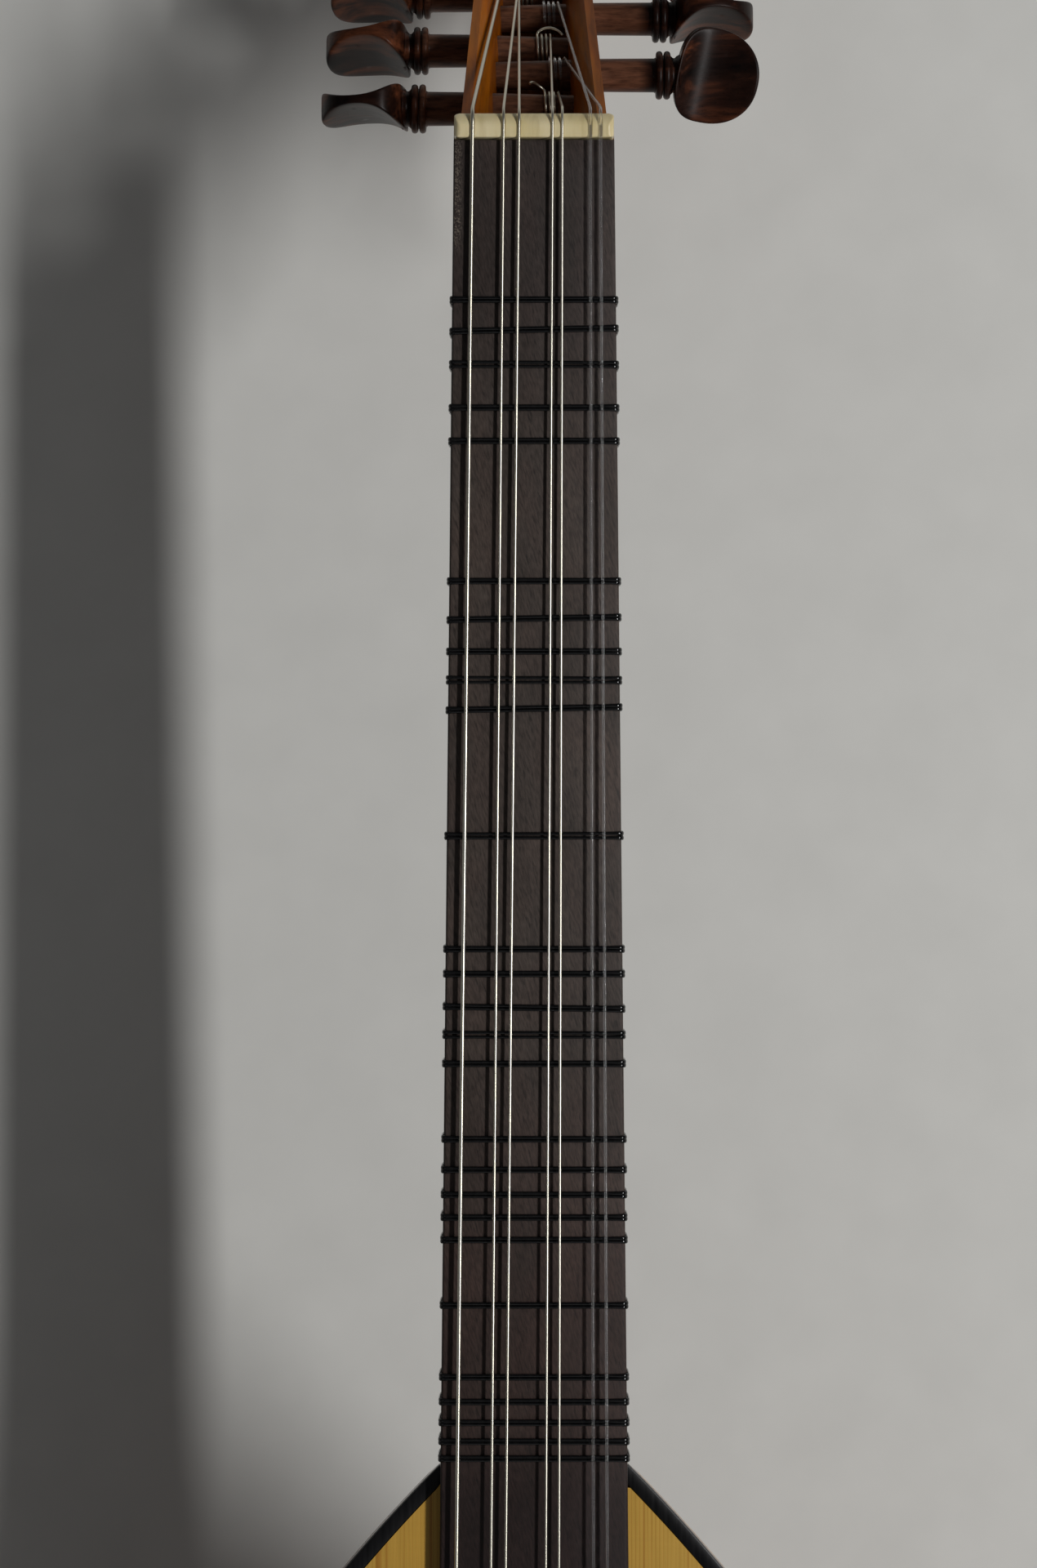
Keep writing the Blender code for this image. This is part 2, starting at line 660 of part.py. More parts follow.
def make_finial():
    """The block that closes the pegbox, whose far lower edge comes down to the level of the bowl."""
    start = PEGBOX_LENGTH + FIT
    depth_end = FINIAL_DEPTH + FINIAL_DROP
    end = (rest_depth() - depth_end * math.cos(PEGBOX_ANGLE)) / math.sin(PEGBOX_ANGLE)
    shoulder = start + 0.4 * (end - start)
    half_start, depth_start = pegbox_half_width(start), pegbox_depth(start)
    sections = [  # distance along, half width, top and bottom
        (start, half_start, 0.0, -depth_start),
        (shoulder, 0.6 * half_start + 0.4 * FINIAL_HALF_WIDTH, 0.0, -0.7 * depth_start - 0.3 * depth_end),
        (end, FINIAL_HALF_WIDTH, -FINIAL_DROP, -depth_end),
    ]
    rings = []
    for along, half, top, bottom in sections:
        corners = [(-half, bottom), (half, bottom), (half, top), (-half, top)]
        rings.append([pegbox_point(x, along, up) for x, up in corners])
    add("pegbox_finial", loft("pegbox_finial", rings), amber_wood)


# Pegs


def peg_reach(name):
    """How far from the middle of the pegbox the outer faces of its cheeks are, at a peg."""
    return pegbox_half_width(peg_along(name))


def peg_radius(name, toward_head):
    """A peg's tapered radius at a distance from the middle of the pegbox toward its head."""
    reach = peg_reach(name)
    share = (toward_head + reach) / (2 * reach)
    return PEG_RADIUS_AT_TIP + (PEG_RADIUS_AT_COLLAR - PEG_RADIUS_AT_TIP) * share


def peg_ring(x, half_thickness, half_width, squareness=1.0):
    """One section of a peg across its axis, an ellipse or a rounded rectangle."""
    ring = []
    for y, z in ellipse((0.0, 0.0), 1.0, 1.0, PEG_SIDES):
        across = math.copysign(abs(y) ** squareness, y) * half_width
        up = math.copysign(abs(z) ** squareness, z) * half_thickness
        ring.append((x, across, up))
    return ring


def peg_hole(name, cutter_name):
    """The tapered hole of a peg through both cheeks."""
    side = PEGS[name][0]
    reach = 1.5 * peg_reach(name)
    flat_allowance = 1 / math.cos(math.pi / PEG_SIDES)
    rings = []
    for toward_head in (-reach, reach):
        radius = (peg_radius(name, toward_head) + PEG_RUNNING_GAP) * flat_allowance
        rings.append(peg_ring(side * toward_head, radius, radius))
    mesh = loft(cutter_name, rings)
    mesh.transform(Matrix.Translation(pegbox_point(0.0, *peg_axis(name))))
    return mesh


def make_pegs():
    """Turned shafts with two rings, and flat heads like a broad heart, hollowed on both faces."""
    for name, (side, place, turn) in PEGS.items():
        reach = peg_reach(name)
        heads_out = BASS_HEADS_OUT if side < 0 else TREBLE_HEADS_OUT
        head = PEGBOX_HALF_WIDTH + heads_out - PEG_HEAD_LENGTH
        second_ring = head - PEG_NECK_LENGTH - PEG_RING_WIDTH
        first_ring = second_ring - PEG_RING_SPACING - PEG_RING_WIDTH
        round_sections = [(-reach, PEG_RADIUS_AT_TIP), (reach, PEG_RADIUS_AT_COLLAR)]
        round_sections.append((first_ring, PEG_RADIUS_AT_COLLAR))
        for ring, beyond in ((first_ring, PEG_GROOVE_RADIUS), (second_ring, PEG_NECK_RADIUS)):
            round_sections.append((ring + 0.15 * PEG_RING_WIDTH, PEG_RING_RADIUS))
            round_sections.append((ring + 0.85 * PEG_RING_WIDTH, PEG_RING_RADIUS))
            round_sections.append((ring + PEG_RING_WIDTH, beyond))
        round_sections.append((head - 0.2 * PEG_NECK_LENGTH, PEG_NECK_RADIUS))
        rings = [peg_ring(side * x, radius, radius) for x, radius in round_sections]
        hollow = PEG_HEAD_SHOULDER - PEG_HEAD_WAIST
        rim = PEG_HEAD_EDGE - PEG_HEAD_WAIST
        for share, thickness, width in (
            (0.03, PEG_HEAD_SHOULDER, 0.52),
            (0.20, PEG_HEAD_WAIST + 0.31 * hollow, 0.90),
            (0.50, PEG_HEAD_WAIST, 1.0),
            (0.78, PEG_HEAD_WAIST + 0.30 * rim, 0.80),
            (0.94, PEG_HEAD_WAIST + 0.72 * rim, 0.45),
            (1.00, PEG_HEAD_EDGE, 0.20),
        ):
            half_width = width * PEG_HEAD_WIDTH / 2
            x = side * (head + share * PEG_HEAD_LENGTH)
            rings.append(peg_ring(x, thickness / 2, half_width, PEG_HEAD_SQUARENESS))
        peg = add(name, loft(name, rings), peg_wood)
        peg.location = pegbox_point(0.0, *peg_axis(name))
        peg.rotation_euler = (turn, 0.0, 0.0)


# Frets


def grip_section(y):
    """The outline of the neck with its fingerboard at a place along it."""
    half = neck_half_width(y)
    top = FIT + FINGERBOARD_THICKNESS
    corner = FINGERBOARD_EDGE
    back = neck_round(y)
    return [(-half, top - corner), (corner - half, top), (half - corner, top), (half, top - corner)] + back


def moved_out(outline, distance):
    """A closed clockwise outline with each corner moved out by a distance from both its edges."""
    count = len(outline)
    moved = []
    for i, (x, z) in enumerate(outline):
        before = (Vector((x, z)) - Vector(outline[i - 1])).normalized()
        after = (Vector(outline[(i + 1) % count]) - Vector((x, z))).normalized()
        normal = (Vector((-before.y, before.x)) + Vector((-after.y, after.x))).normalized()
        stretch = distance / normal.dot(Vector((-before.y, before.x)))
        moved.append((x + normal.x * stretch, z + normal.y * stretch))
    return moved


def make_frets():
    """Bands of nylon tied round the neck, two strands wide, that can be slid along it to tune them."""
    for number, distance in enumerate(fret_places(), 1):
        section = grip_section(-distance)
        inner = moved_out(section, FIT)
        outer = moved_out(section, FIT + FRET_HEIGHT)
        name = f"fret_{number:02d}"
        mesh = bpy.data.meshes.new(name)
        shape = bmesh.new()
        edge = FRET_WIDTH / 2
        profile = [(inner, -edge), (inner, edge), (outer, 0.7 * edge), (outer, -0.7 * edge)]
        rows = [[shape.verts.new((x, y, z)) for x, z in line] for line, y in profile]
        count = len(section)
        for i in range(count):
            j = (i + 1) % count
            for row, following in zip(rows, rows[1:] + rows[:1]):
                shape.faces.new((row[i], row[j], following[j], following[i]))
        bmesh.ops.recalc_face_normals(shape, faces=shape.faces)
        shape.to_mesh(mesh)
        shape.free()
        fret = add(name, mesh, black_nylon)
        fret.location = (0.0, -distance, 0.0)
        fret.rotation_euler = (0.0, 0.0, math.radians(FRET_TILTS.get(number, 0.0)))


# Strings


def string_z(y):
    """The height of the strings over a place between the bridge and the nut."""
    return STRING_Z_AT_NUT + (STRING_Z_AT_BRIDGE - STRING_Z_AT_NUT) * (y / BRIDGE_FRONT_Y)


def arc(centre, radius, start, end, steps):
    """Places on an arc in the plane of one string, as its distances along and up."""
    angles = [math.radians(start + (end - start) * i / steps) for i in range(steps + 1)]
    return [(centre[0] + radius * math.cos(a), centre[1] + radius * math.sin(a)) for a in angles]


def bridge_route(number):
    """A string's tie: up the front of the bridge, over it, down its back and through its hole."""
    x = STRING_X_AT_BRIDGE[number]
    radius = STRING_DIAMETERS[number] / 2
    clear = radius + FIT
    front, back = BRIDGE_FRONT_Y, BRIDGE_FRONT_Y - BRIDGE_DEPTH
    loose_end = STRING_Z_AT_BRIDGE + 2 * radius + WINDING_SPACE
    route = [(front + clear, loose_end)]
    route += arc((front, BRIDGE_TOP_Z), clear, 0, 90, 2)
    route += arc((back, BRIDGE_TOP_Z), clear, 90, 180, 2)
    route += arc((back, STRING_Z_AT_BRIDGE + clear), clear, 180, 270, 2)
    route.append((front, STRING_Z_AT_BRIDGE))
    return [(x, y, z) for y, z in route]


def nut_route(number):
    """The bend of a string over the nut, from the fingerboard side to the pegbox side."""
    x = STRING_X_AT_NUT[number]
    slope = (x - STRING_X_AT_BRIDGE[number]) / SCALE_LENGTH
    clear_top = STRING_Z_AT_NUT
    route = [
        (-1.5 * NUT_LENGTH, string_z(-1.5 * NUT_LENGTH)),
        (0.42 * NUT_LENGTH, clear_top),
        (0.85 * NUT_LENGTH, clear_top - 0.12 * NUT_LENGTH),
        (1.25 * NUT_LENGTH, clear_top - 0.45 * NUT_LENGTH),
    ]
    return [(x + slope * y, y, z) for y, z in route]


def peg_route(number, arriving):
    """A string's winding: it reaches its peg over the side away from the neck and winds inward."""
    name, start_x = STRING_PEGS[number], WINDING_X[number]
    radius = STRING_DIAMETERS[number] / 2
    side = PEGS[name][0]
    centre = Vector(peg_axis(name))
    pitch = 2 * radius + WINDING_SPACE
    inward = -1 if STRING_X_AT_NUT[number] > 0 else 1
    far_x = start_x + inward * pitch * WINDING_TURNS
    widest = max(peg_radius(name, side * start_x), peg_radius(name, side * far_x))
    circle = widest + FIT + radius
    sin, cos = math.sin(PEGBOX_ANGLE), math.cos(PEGBOX_ANGLE)
    y = arriving[1] - NUT_LENGTH - FIT
    come_from = Vector((y * cos - arriving[2] * sin, y * sin + arriving[2] * cos))
    toward = centre - come_from
    heading = math.atan2(toward.y, toward.x) + math.asin(circle / toward.length)
    first = heading + math.pi / 2
    steps = WINDING_TURNS * POINTS_PER_TURN
    route = []
    for i in range(steps + 1):
        angle = first - 2 * math.pi * i / POINTS_PER_TURN
        x = start_x + inward * pitch * i / POINTS_PER_TURN
        route.append((x, centre.x + circle * math.cos(angle), centre.y + circle * math.sin(angle)))
    last = first - 2 * math.pi * WINDING_TURNS - math.pi / 2
    x, along, up = route[-1]
    tail = 2 * radius
    route.append((x, along + tail * math.cos(last), up + tail * math.sin(last)))
    return [pegbox_point(*place) for place in route]


def least_gap(route, radius):
    """The least clear space between two stretches of a wire that aren't neighbours along it."""
    near = 8 * radius
    distance_along = [0.0]
    for a, b in zip(route, route[1:]):
        distance_along.append(distance_along[-1] + (Vector(b) - Vector(a)).length)
    gaps = [
        (Vector(a) - Vector(b)).length - 2 * radius
        for i, a in enumerate(route)
        for j, b in enumerate(route[:i])
        if distance_along[i] - distance_along[j] > near
    ]
    return min(gaps)


def make_strings():
    for number, diameter in enumerate(STRING_DIAMETERS):
        over_nut = nut_route(number)
        route = bridge_route(number) + over_nut[1:] + peg_route(number, over_nut[-1])
        gap = least_gap(route, diameter / 2) / MM
        print(f"string {number + 1}: {WINDING_TURNS} turns, least gap to itself {gap:.2f} mm")
        surface = clear_nylon if number > 4 else wound_silver
        name = f"string_{number + 1}"
        add(name, tube(name, route, diameter / 2), surface, smooth_below=70)


# The whole instrument


def stand_on_floor():
    """Moves the instrument so that it stands on Z 0 with its middle at X 0 and Y 0."""
    bpy.context.view_layer.update()
    pieces = [piece for piece in lavta.objects if piece.type == "MESH"]
    corners = [piece.matrix_world @ Vector(c) for piece in pieces for c in piece.bound_box]
    lengths = [corner.y for corner in corners]
    lowest = min(corner.z for corner in corners)
    instrument_frame.location = (0.0, -(min(lengths) + max(lengths)) / 2, -lowest)
    bpy.context.view_layer.update()


make_bowl()
make_soundboard()
make_rosette()
make_braces()
make_bridge()
make_neck()
make_fingerboard()
make_nut()
make_pegbox()
make_finial()
make_pegs()
make_frets()
make_strings()
stand_on_floor()
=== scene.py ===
# %% [markdown]
# # Dressing a lavta
#
# A lavta is a long-necked lute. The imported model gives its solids: where each piece is, how big it is and how
# the pegs and frets move. This notebook gives every piece the shape and the finish that an eye expects. Most
# pieces are made again as finer surfaces in the same place, and the rest keep their solids and get a material.

# %% Load the frame
import json
import math

import bpy
import numpy as np
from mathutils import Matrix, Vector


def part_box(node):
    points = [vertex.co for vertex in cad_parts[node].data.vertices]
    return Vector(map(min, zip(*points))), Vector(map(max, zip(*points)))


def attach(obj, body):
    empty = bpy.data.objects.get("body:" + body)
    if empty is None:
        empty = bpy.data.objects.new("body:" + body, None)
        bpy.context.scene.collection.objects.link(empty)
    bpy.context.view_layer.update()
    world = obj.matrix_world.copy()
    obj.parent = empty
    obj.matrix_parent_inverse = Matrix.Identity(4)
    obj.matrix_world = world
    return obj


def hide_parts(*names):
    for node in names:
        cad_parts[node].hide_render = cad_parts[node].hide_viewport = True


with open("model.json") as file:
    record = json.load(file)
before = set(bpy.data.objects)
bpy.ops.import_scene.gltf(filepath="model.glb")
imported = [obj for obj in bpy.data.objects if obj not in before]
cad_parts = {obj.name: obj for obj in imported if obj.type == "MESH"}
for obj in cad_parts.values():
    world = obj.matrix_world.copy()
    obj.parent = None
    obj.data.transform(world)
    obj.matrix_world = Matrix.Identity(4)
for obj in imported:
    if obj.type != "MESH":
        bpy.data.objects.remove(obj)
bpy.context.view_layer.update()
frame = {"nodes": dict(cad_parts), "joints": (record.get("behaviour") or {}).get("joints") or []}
MM = 0.001
FIT = 0.3 * MM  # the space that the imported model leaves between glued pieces

# %% [markdown]
# The instrument is easiest to describe from its nut: Y along the strings with 0 at the front of the nut, X
# across from the bass side to the treble side, and Z up from the top of the soundboard. The frame tells where
# that point lies, so each surface is worked out in these terms and moved there as it becomes a mesh.

# %% The instrument's own origin
ORIGIN = np.array([0.0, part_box("nut")[0][1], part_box("soundboard")[1][2]])


def local_box(node):
    """The lowest and the highest corner of a node's solid, in the instrument's own terms."""
    return [np.array(corner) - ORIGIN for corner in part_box(node)]


NUT_HALF_WIDTH, NUT_LENGTH, _ = local_box("nut")[1]
bridge_low, bridge_high = local_box("bridge")
bowl_low, bowl_high = local_box("bowl")
SCALE_LENGTH = -bridge_high[1]
print("nut front at Y", round(ORIGIN[1], 4), "string length", round(SCALE_LENGTH, 4))

# %% [markdown]
# The photograph looks straight down on the fingerboard. One picture pixel is a fifth of a millimetre there,
# and the middle of the picture lies a little to the bass side of the centreline. A long lens, far back, keeps
# the neck from tapering more than it does. This camera comes before everything else, because it decides
# how much detail each piece needs.

# %% Camera
FINGERBOARD_TOP = 4.8 * MM
CAMERA_DISTANCE = 0.850
CAMERA_PLACE = (-3.8 * MM, -158.2 * MM, FINGERBOARD_TOP + CAMERA_DISTANCE)


def add_object(name, data):
    """A new object in the scene."""
    added = bpy.data.objects.new(name, data)
    bpy.context.scene.collection.objects.link(added)
    return added


def add_camera():
    data = bpy.data.cameras.new("camera")
    data.lens = 79.7
    data.sensor_width = 36.0
    data.sensor_fit = "AUTO"
    data.clip_start = 0.01
    data.dof.use_dof = False
    camera = add_object("camera", data)
    camera.location = ORIGIN + CAMERA_PLACE
    bpy.context.scene.camera = camera
    return camera


print("camera at", [round(v, 3) for v in add_camera().location])

# %% [markdown]
# A few forms come back all over the instrument.

# %% Small forms


def circle(count):
    """Angles all the way round, in even steps."""
    return np.arange(count) * 2 * math.pi / count


def rotated(first, second, angle):
    """Two coordinates turned by an angle in their plane."""
    cos, sin = math.cos(angle), math.sin(angle)
    return first * cos - second * sin, first * sin + second * cos


def power_curve(angle, first_power, second_power):
    """Cosine and sine raised to powers with their signs kept. Under 1 a circle is drawn toward a square."""
    cos, sin = np.cos(angle), np.sin(angle)
    return np.sign(cos) * np.abs(cos) ** first_power, np.sign(sin) * np.abs(sin) ** second_power


def smooth(share):
    """A smooth step, for shares from 0 to 1."""
    return share * share * (3 - 2 * share)


def side_by_side(*parts):
    """Coordinates of any shapes that fit together, as one array of points."""
    return np.stack(np.broadcast_arrays(*parts), axis=-1)


def turned_rings(x, radius, count):
    """Rings about the X axis, from columns of places and radii."""
    return side_by_side(x, radius * np.cos(circle(count)), radius * np.sin(circle(count)))


print("a smooth step is", smooth(0.5), "halfway")

# %% [markdown]
# Every new piece is a grid of points: row by row along the piece, and column by column across or around it.
# One function turns such grids into a mesh and closes it at its ends. It can keep a map of lengths along the
# rows, so that a pattern may follow a string or a rib wherever it bends.

# %% Grids to meshes


def grid_faces(rows, columns, around=True, looped=False):
    """Quads between neighbouring rows and columns. around joins the columns' ends, and looped the rows' ends."""
    r = np.arange(rows if looped else rows - 1)[:, None]
    c = np.arange(columns if around else columns - 1)[None, :]
    r_next, c_next = (r + 1) % rows, (c + 1) % columns
    quad = [r * columns + c, r * columns + c_next, r_next * columns + c_next, r_next * columns + c]
    return side_by_side(*quad).reshape(-1, 4)


def make_mesh(name, points, faces, lengths=None):
    """A mesh object. lengths gives each point a (length along, place across) for its UV map."""
    mesh = bpy.data.meshes.new(name)
    mesh.from_pydata((points + ORIGIN).tolist(), [], faces)
    if lengths is not None:
        corners = np.empty(len(mesh.loops), dtype=np.int32)
        mesh.loops.foreach_get("vertex_index", corners)
        layer = mesh.uv_layers.new(name="lengths")
        layer.uv.foreach_set("vector", np.ascontiguousarray(lengths[corners], dtype=np.float32).ravel())
    mesh.validate()
    return add_object(name, mesh)


def solid(name, *grids, looped=False, lengths=None):
    """One mesh from grids of rings. Looped grids join their last ring to the first, others get filled ends."""
    points, faces, start = [], [], 0
    for grid in grids:
        rows, columns = grid.shape[:2]
        faces += (grid_faces(rows, columns, looped=looped) + start).tolist()
        last = start + (rows - 1) * columns
        if not looped:
            faces += [list(range(first, first + columns)) for first in (start, last)]
        points.append(grid.reshape(-1, 3))
        start = last + columns
    return make_mesh(name, np.concatenate(points), faces, lengths)


def face_outwards(piece):
    """Turns the faces of a closed mesh outwards."""
    bpy.context.view_layer.objects.active = piece
    piece.select_set(True)
    bpy.ops.object.mode_set(mode="EDIT")
    bpy.ops.mesh.select_all(action="SELECT")
    bpy.ops.mesh.normals_make_consistent(inside=False)
    bpy.ops.object.mode_set(mode="OBJECT")
    piece.select_set(False)


def finish_piece(piece, surface, body="lavta_body", nodes=(), sharp=35):
    """Gives a piece its finish and its body, and hides the solids that it stands for."""
    face_outwards(piece)
    piece.data.materials.append(surface.material)
    piece.data.shade_smooth()
    piece.data.set_sharp_from_angle(angle=math.radians(sharp))
    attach(piece, body)
    if nodes:
        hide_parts(*nodes)
    return piece


print("a tube of 3 rings and 8 sides has", len(grid_faces(3, 8)), "side faces")

# %% [markdown]
# A string or a tied fret is a round section carried along a path. Each path lies almost in one plane, whose
# normal gives one side of every section, and the path's own direction gives the other.

# %% Tubes along a path
X_AXIS, Y_AXIS = np.eye(3)[:2]


def unit(vectors):
    return vectors / np.linalg.norm(vectors, axis=1, keepdims=True)


def tube_rings(path, radius, sides, across, looped=False):
    """Rings about a path: centre + radius times (cosine of side + sine of up), with side nearest to across."""
    if looped:
        along = unit(np.roll(path, -1, axis=0) - np.roll(path, 1, axis=0))
    else:
        along = unit(np.gradient(path, axis=0))
    side = unit(across - (along @ across)[:, None] * along)
    up = np.cross(along, side)
    angle = circle(sides)[None, :, None]
    radius = np.broadcast_to(radius, len(path))[:, None, None]
    return path[:, None, :] + radius * (np.cos(angle) * side[:, None, :] + np.sin(angle) * up[:, None, :])


def path_lengths(path, across):
    """For each point of a grid: how far along the path its row lies, and its column's place across."""
    steps = np.linalg.norm(np.diff(path, axis=0), axis=1)
    along = np.concatenate([[0.0], np.cumsum(steps)])
    return side_by_side(along[:, None], across[None, :]).reshape(-1, 2)


def rounded(path, spacing):
    """A smooth curve through a path's points, resampled at even steps: each span is a cubic whose slopes come
    from the neighbouring points."""
    slopes = np.gradient(path, axis=0)
    spans = np.linalg.norm(np.diff(path, axis=0), axis=1)
    counts = np.maximum(2, (spans / spacing).astype(int))
    pieces = []
    for i, count in enumerate(counts):
        t = (np.arange(count) / count)[:, None]
        limit = spans[i] / np.maximum(np.linalg.norm(slopes[i : i + 2], axis=1), 1e-9)
        start, end = slopes[i] * min(limit[0], 1.0), slopes[i + 1] * min(limit[1], 1.0)
        from_first = (2 * t**3 - 3 * t**2 + 1) * path[i] + (t**3 - 2 * t**2 + t) * start
        pieces.append(from_first + (-2 * t**3 + 3 * t**2) * path[i + 1] + (t**3 - t**2) * end)
    return np.concatenate(pieces + [path[-1:]])


print("the middle of a straight path:", rounded(np.array([[0.0, 0, 0], [1.0, 0, 0]]), 0.5)[1])

# %% [markdown]
# Wood, bone, nylon and wound metal are all mixed from the same few nodes. Object coordinates are stretched so
# that noise runs along the grain, and a colour ramp turns the noise into streaks. This class holds a material
# while it is mixed, so that each recipe below stays short enough to read.

# %% Mixing a finish


def srgb(red, green, blue):
    """A colour read off a picture, 0 to 255, as the linear colour that a shader takes."""
    value = np.array([red, green, blue]) / 255
    linear = np.where(value <= 0.04045, value / 12.92, ((value + 0.055) / 1.055) ** 2.4)
    return (*linear.tolist(), 1.0)


class Finish:
    """A material and its nodes. Each input takes a fixed value or the socket of another node."""

    def __init__(self, name, roughness, metallic=0.0, coat=0.0, coat_roughness=0.1, specular=0.5):
        self.material = bpy.data.materials.new(name)
        self.material.use_nodes = True
        self.tree = self.material.node_tree
        self.shader = self.tree.nodes["Principled BSDF"]
        self.shade({"Roughness": roughness, "Metallic": metallic, "Specular IOR Level": specular})
        self.shade({"Coat Weight": coat, "Coat Roughness": coat_roughness})

    def fill(self, node, inputs):
        for place, value in inputs.items():
            if isinstance(value, bpy.types.NodeSocket):
                self.tree.links.new(value, node.inputs[place])
            else:
                node.inputs[place].default_value = value

    def add(self, kind, inputs, **settings):
        """A new node, given by its outputs."""
        node = self.tree.nodes.new("ShaderNode" + kind)
        for setting, value in settings.items():
            setattr(node, setting, value)
        self.fill(node, inputs)
        return node.outputs

    def shade(self, inputs):
        self.fill(self.shader, inputs)

    def place(self, scale=(1, 1, 1), turn=(0, 0, 0)):
        """Object coordinates, turned and then stretched."""
        turned = self.add("Mapping", {"Vector": self.add("TexCoord", {})["Object"], "Rotation": turn})
        return self.add("Mapping", {"Vector": turned["Vector"], "Scale": scale})["Vector"]

    def lengths(self):
        """The map of lengths that a piece's mesh carries."""
        return self.add("UVMap", {}, uv_map="lengths")["UV"]

    def split(self, vector):
        """A vector's first two numbers."""
        parts = self.add("SeparateXYZ", {"Vector": vector})
        return parts["X"], parts["Y"]

    def noise(self, vector, detail, roughness=0.5, distortion=0.0):
        """Noise on a vector. Three numbers stand for object coordinates stretched by them."""
        vector = self.place(vector) if isinstance(vector, tuple) else vector
        inputs = {"Vector": vector, "Scale": 1.0, "Detail": detail, "Roughness": roughness}
        return self.add("TexNoise", {**inputs, "Distortion": distortion})["Fac"]

    def ramp(self, factor, *stops):
        """A colour ramp from (place, colour) stops. A number stands for a grey."""
        node = self.tree.nodes.new("ShaderNodeValToRGB")
        elements = node.color_ramp.elements
        while len(elements) < len(stops):
            elements.new(0.5)
        for element, (place, colour) in zip(elements, stops):
            element.position = place
            element.color = colour if isinstance(colour, tuple) else (colour, colour, colour, 1.0)
        self.fill(node, {"Fac": factor})
        return node.outputs["Color"]

    def mix(self, share, first, second, how="MIX"):
        """A second colour laid over the first by a share."""
        return self.add("Mix", {0: share, 6: first, 7: second}, data_type="RGBA", blend_type=how)[2]

    def tint(self, colour, by, share=1.0):
        """A colour multiplied by another."""
        return self.mix(share, colour, by, "MULTIPLY")

    def calculate(self, operation, first, second=0.0):
        return self.add("Math", {0: first, 1: second}, operation=operation)[0]

    def between(self, value, start, end, low=0.0, high=1.0):
        """Follows a value smoothly: low up to start, high from end on."""
        inputs = {"Value": value, "From Min": start, "From Max": end, "To Min": low, "To Max": high}
        return self.add("MapRange", inputs, interpolation_type="SMOOTHSTEP")["Result"]

    def apply(self, colour, pattern=None, roughness=None, bump=None):
        """Ends a recipe with its colour, two values between which the roughness follows a pattern, and a bump
        as (height, strength, distance)."""
        self.shade({"Base Color": colour})
        if pattern is not None:
            self.shade({"Roughness": self.between(pattern, 0.0, 1.0, *roughness)})
        if bump is not None:
            self.shade({"Normal": self.add("Bump", dict(zip(("Height", "Strength", "Distance"), bump)))["Normal"]})
        return self


print("mid grey 119 is", round(srgb(119, 119, 119)[0], 3), "as light")

# %% [markdown]
# ## Woods
#
# Each wood is a base tone, wide soft bands, narrow streaks along the grain and short open pores. Only the
# proportions differ: the pegs have dark, fine, strong figure, the neck is plain and polished, and the
# pegbox's maple glows amber through its varnish.

# %% The wood recipe


def wood(name, tones, grain, turn=(0, 0, 0), roughness=(0.4, 0.55), pores=0.4, coat=0.0, specular=0.5, vectors=None):
    """Wood whose grain runs along Y after turn. tones are dark, middle and light. grain is the number of streaks
    in a metre across it and how much longer than wide they are. vectors makes other vectors to follow instead."""
    finish = Finish(name, roughness[0], coat=coat, specular=specular)
    across, stretch = grain
    if vectors is None:
        fine = finish.place((across, across / stretch, across), turn)
        broad = finish.place((across / 7, across / stretch / 4, across / 7), turn)
        short = finish.place((across * 3.2, across / stretch * 7, across * 3.2), turn)
    else:
        fine, broad, short = vectors(finish, across, stretch)
    bands = finish.noise(broad, 3.0, 0.55, 0.6)
    streaks = finish.noise(fine, 6.0, 0.62, 0.25)
    pits = finish.noise(short, 2.0)
    base = finish.ramp(bands, *zip((0.28, 0.5, 0.74), (srgb(*tone) for tone in tones)))
    figured = finish.tint(base, finish.ramp(streaks, (0.30, 0.52), (0.48, 0.9), (0.66, 1.16)))
    open_pores = finish.ramp(pits, (0.30, 1.0 - pores), (0.42, 1.0))
    relief = (open_pores, 0.25 * pores + 0.05, 0.1 * MM)
    return finish.apply(finish.tint(figured, open_pores), streaks, roughness, relief)


PEGBOX_ANGLE = math.radians(50)
ALONG_PEGBOX = (PEGBOX_ANGLE, 0, 0)
ALONG_X = (0, 0, math.radians(90))
neck_tones = ((66, 38, 24), (96, 58, 36), (122, 78, 48))
amber_tones = ((78, 36, 2), (148, 76, 3), (212, 132, 16))
inner_tones = ((150, 116, 78), (186, 150, 106), (205, 172, 128))
bridge_tones = ((26, 20, 19), (44, 33, 30), (62, 45, 38))
rosette_tones = ((58, 34, 22), (88, 54, 34), (112, 72, 46))
pale_tones = ((176, 140, 92), (204, 170, 118), (222, 192, 142))
neck_wood = wood("neck_wood", neck_tones, (500, 16), roughness=(0.3, 0.42), coat=0.4)
amber_wood = wood(
    "amber_wood", amber_tones, (420, 10), ALONG_PEGBOX, roughness=(0.26, 0.38), pores=0.12, coat=0.06, specular=0.12
)
inner_wood = wood("inner_wood", inner_tones, (500, 12), pores=0.2)
bridge_wood = wood("bridge_wood", bridge_tones, (900, 10), ALONG_X, pores=0.3, coat=0.25)
rosette_wood = wood("rosette_wood", rosette_tones, (900, 6), pores=0.15)
pale_wood = wood("pale_wood", pale_tones, (700, 14), pores=0.1)
print("woods:", [w.material.name for w in (neck_wood, amber_wood, bridge_wood, rosette_wood, pale_wood)])

# %% [markdown]
# The pegs' wood starts as the same recipe. The shafts between the cheeks and the rings are paler, and the
# distance from the middle of the pegbox tells where that is.

# %% Peg wood
PEG_TONES = ((12, 6, 5), (38, 20, 14), (112, 62, 38))
# Distances from the middle of the pegbox over which the shafts turn paler.
PALE_SHAFT_TO, PALE_SHAFT_FROM = 30.5 * MM, 26.5 * MM


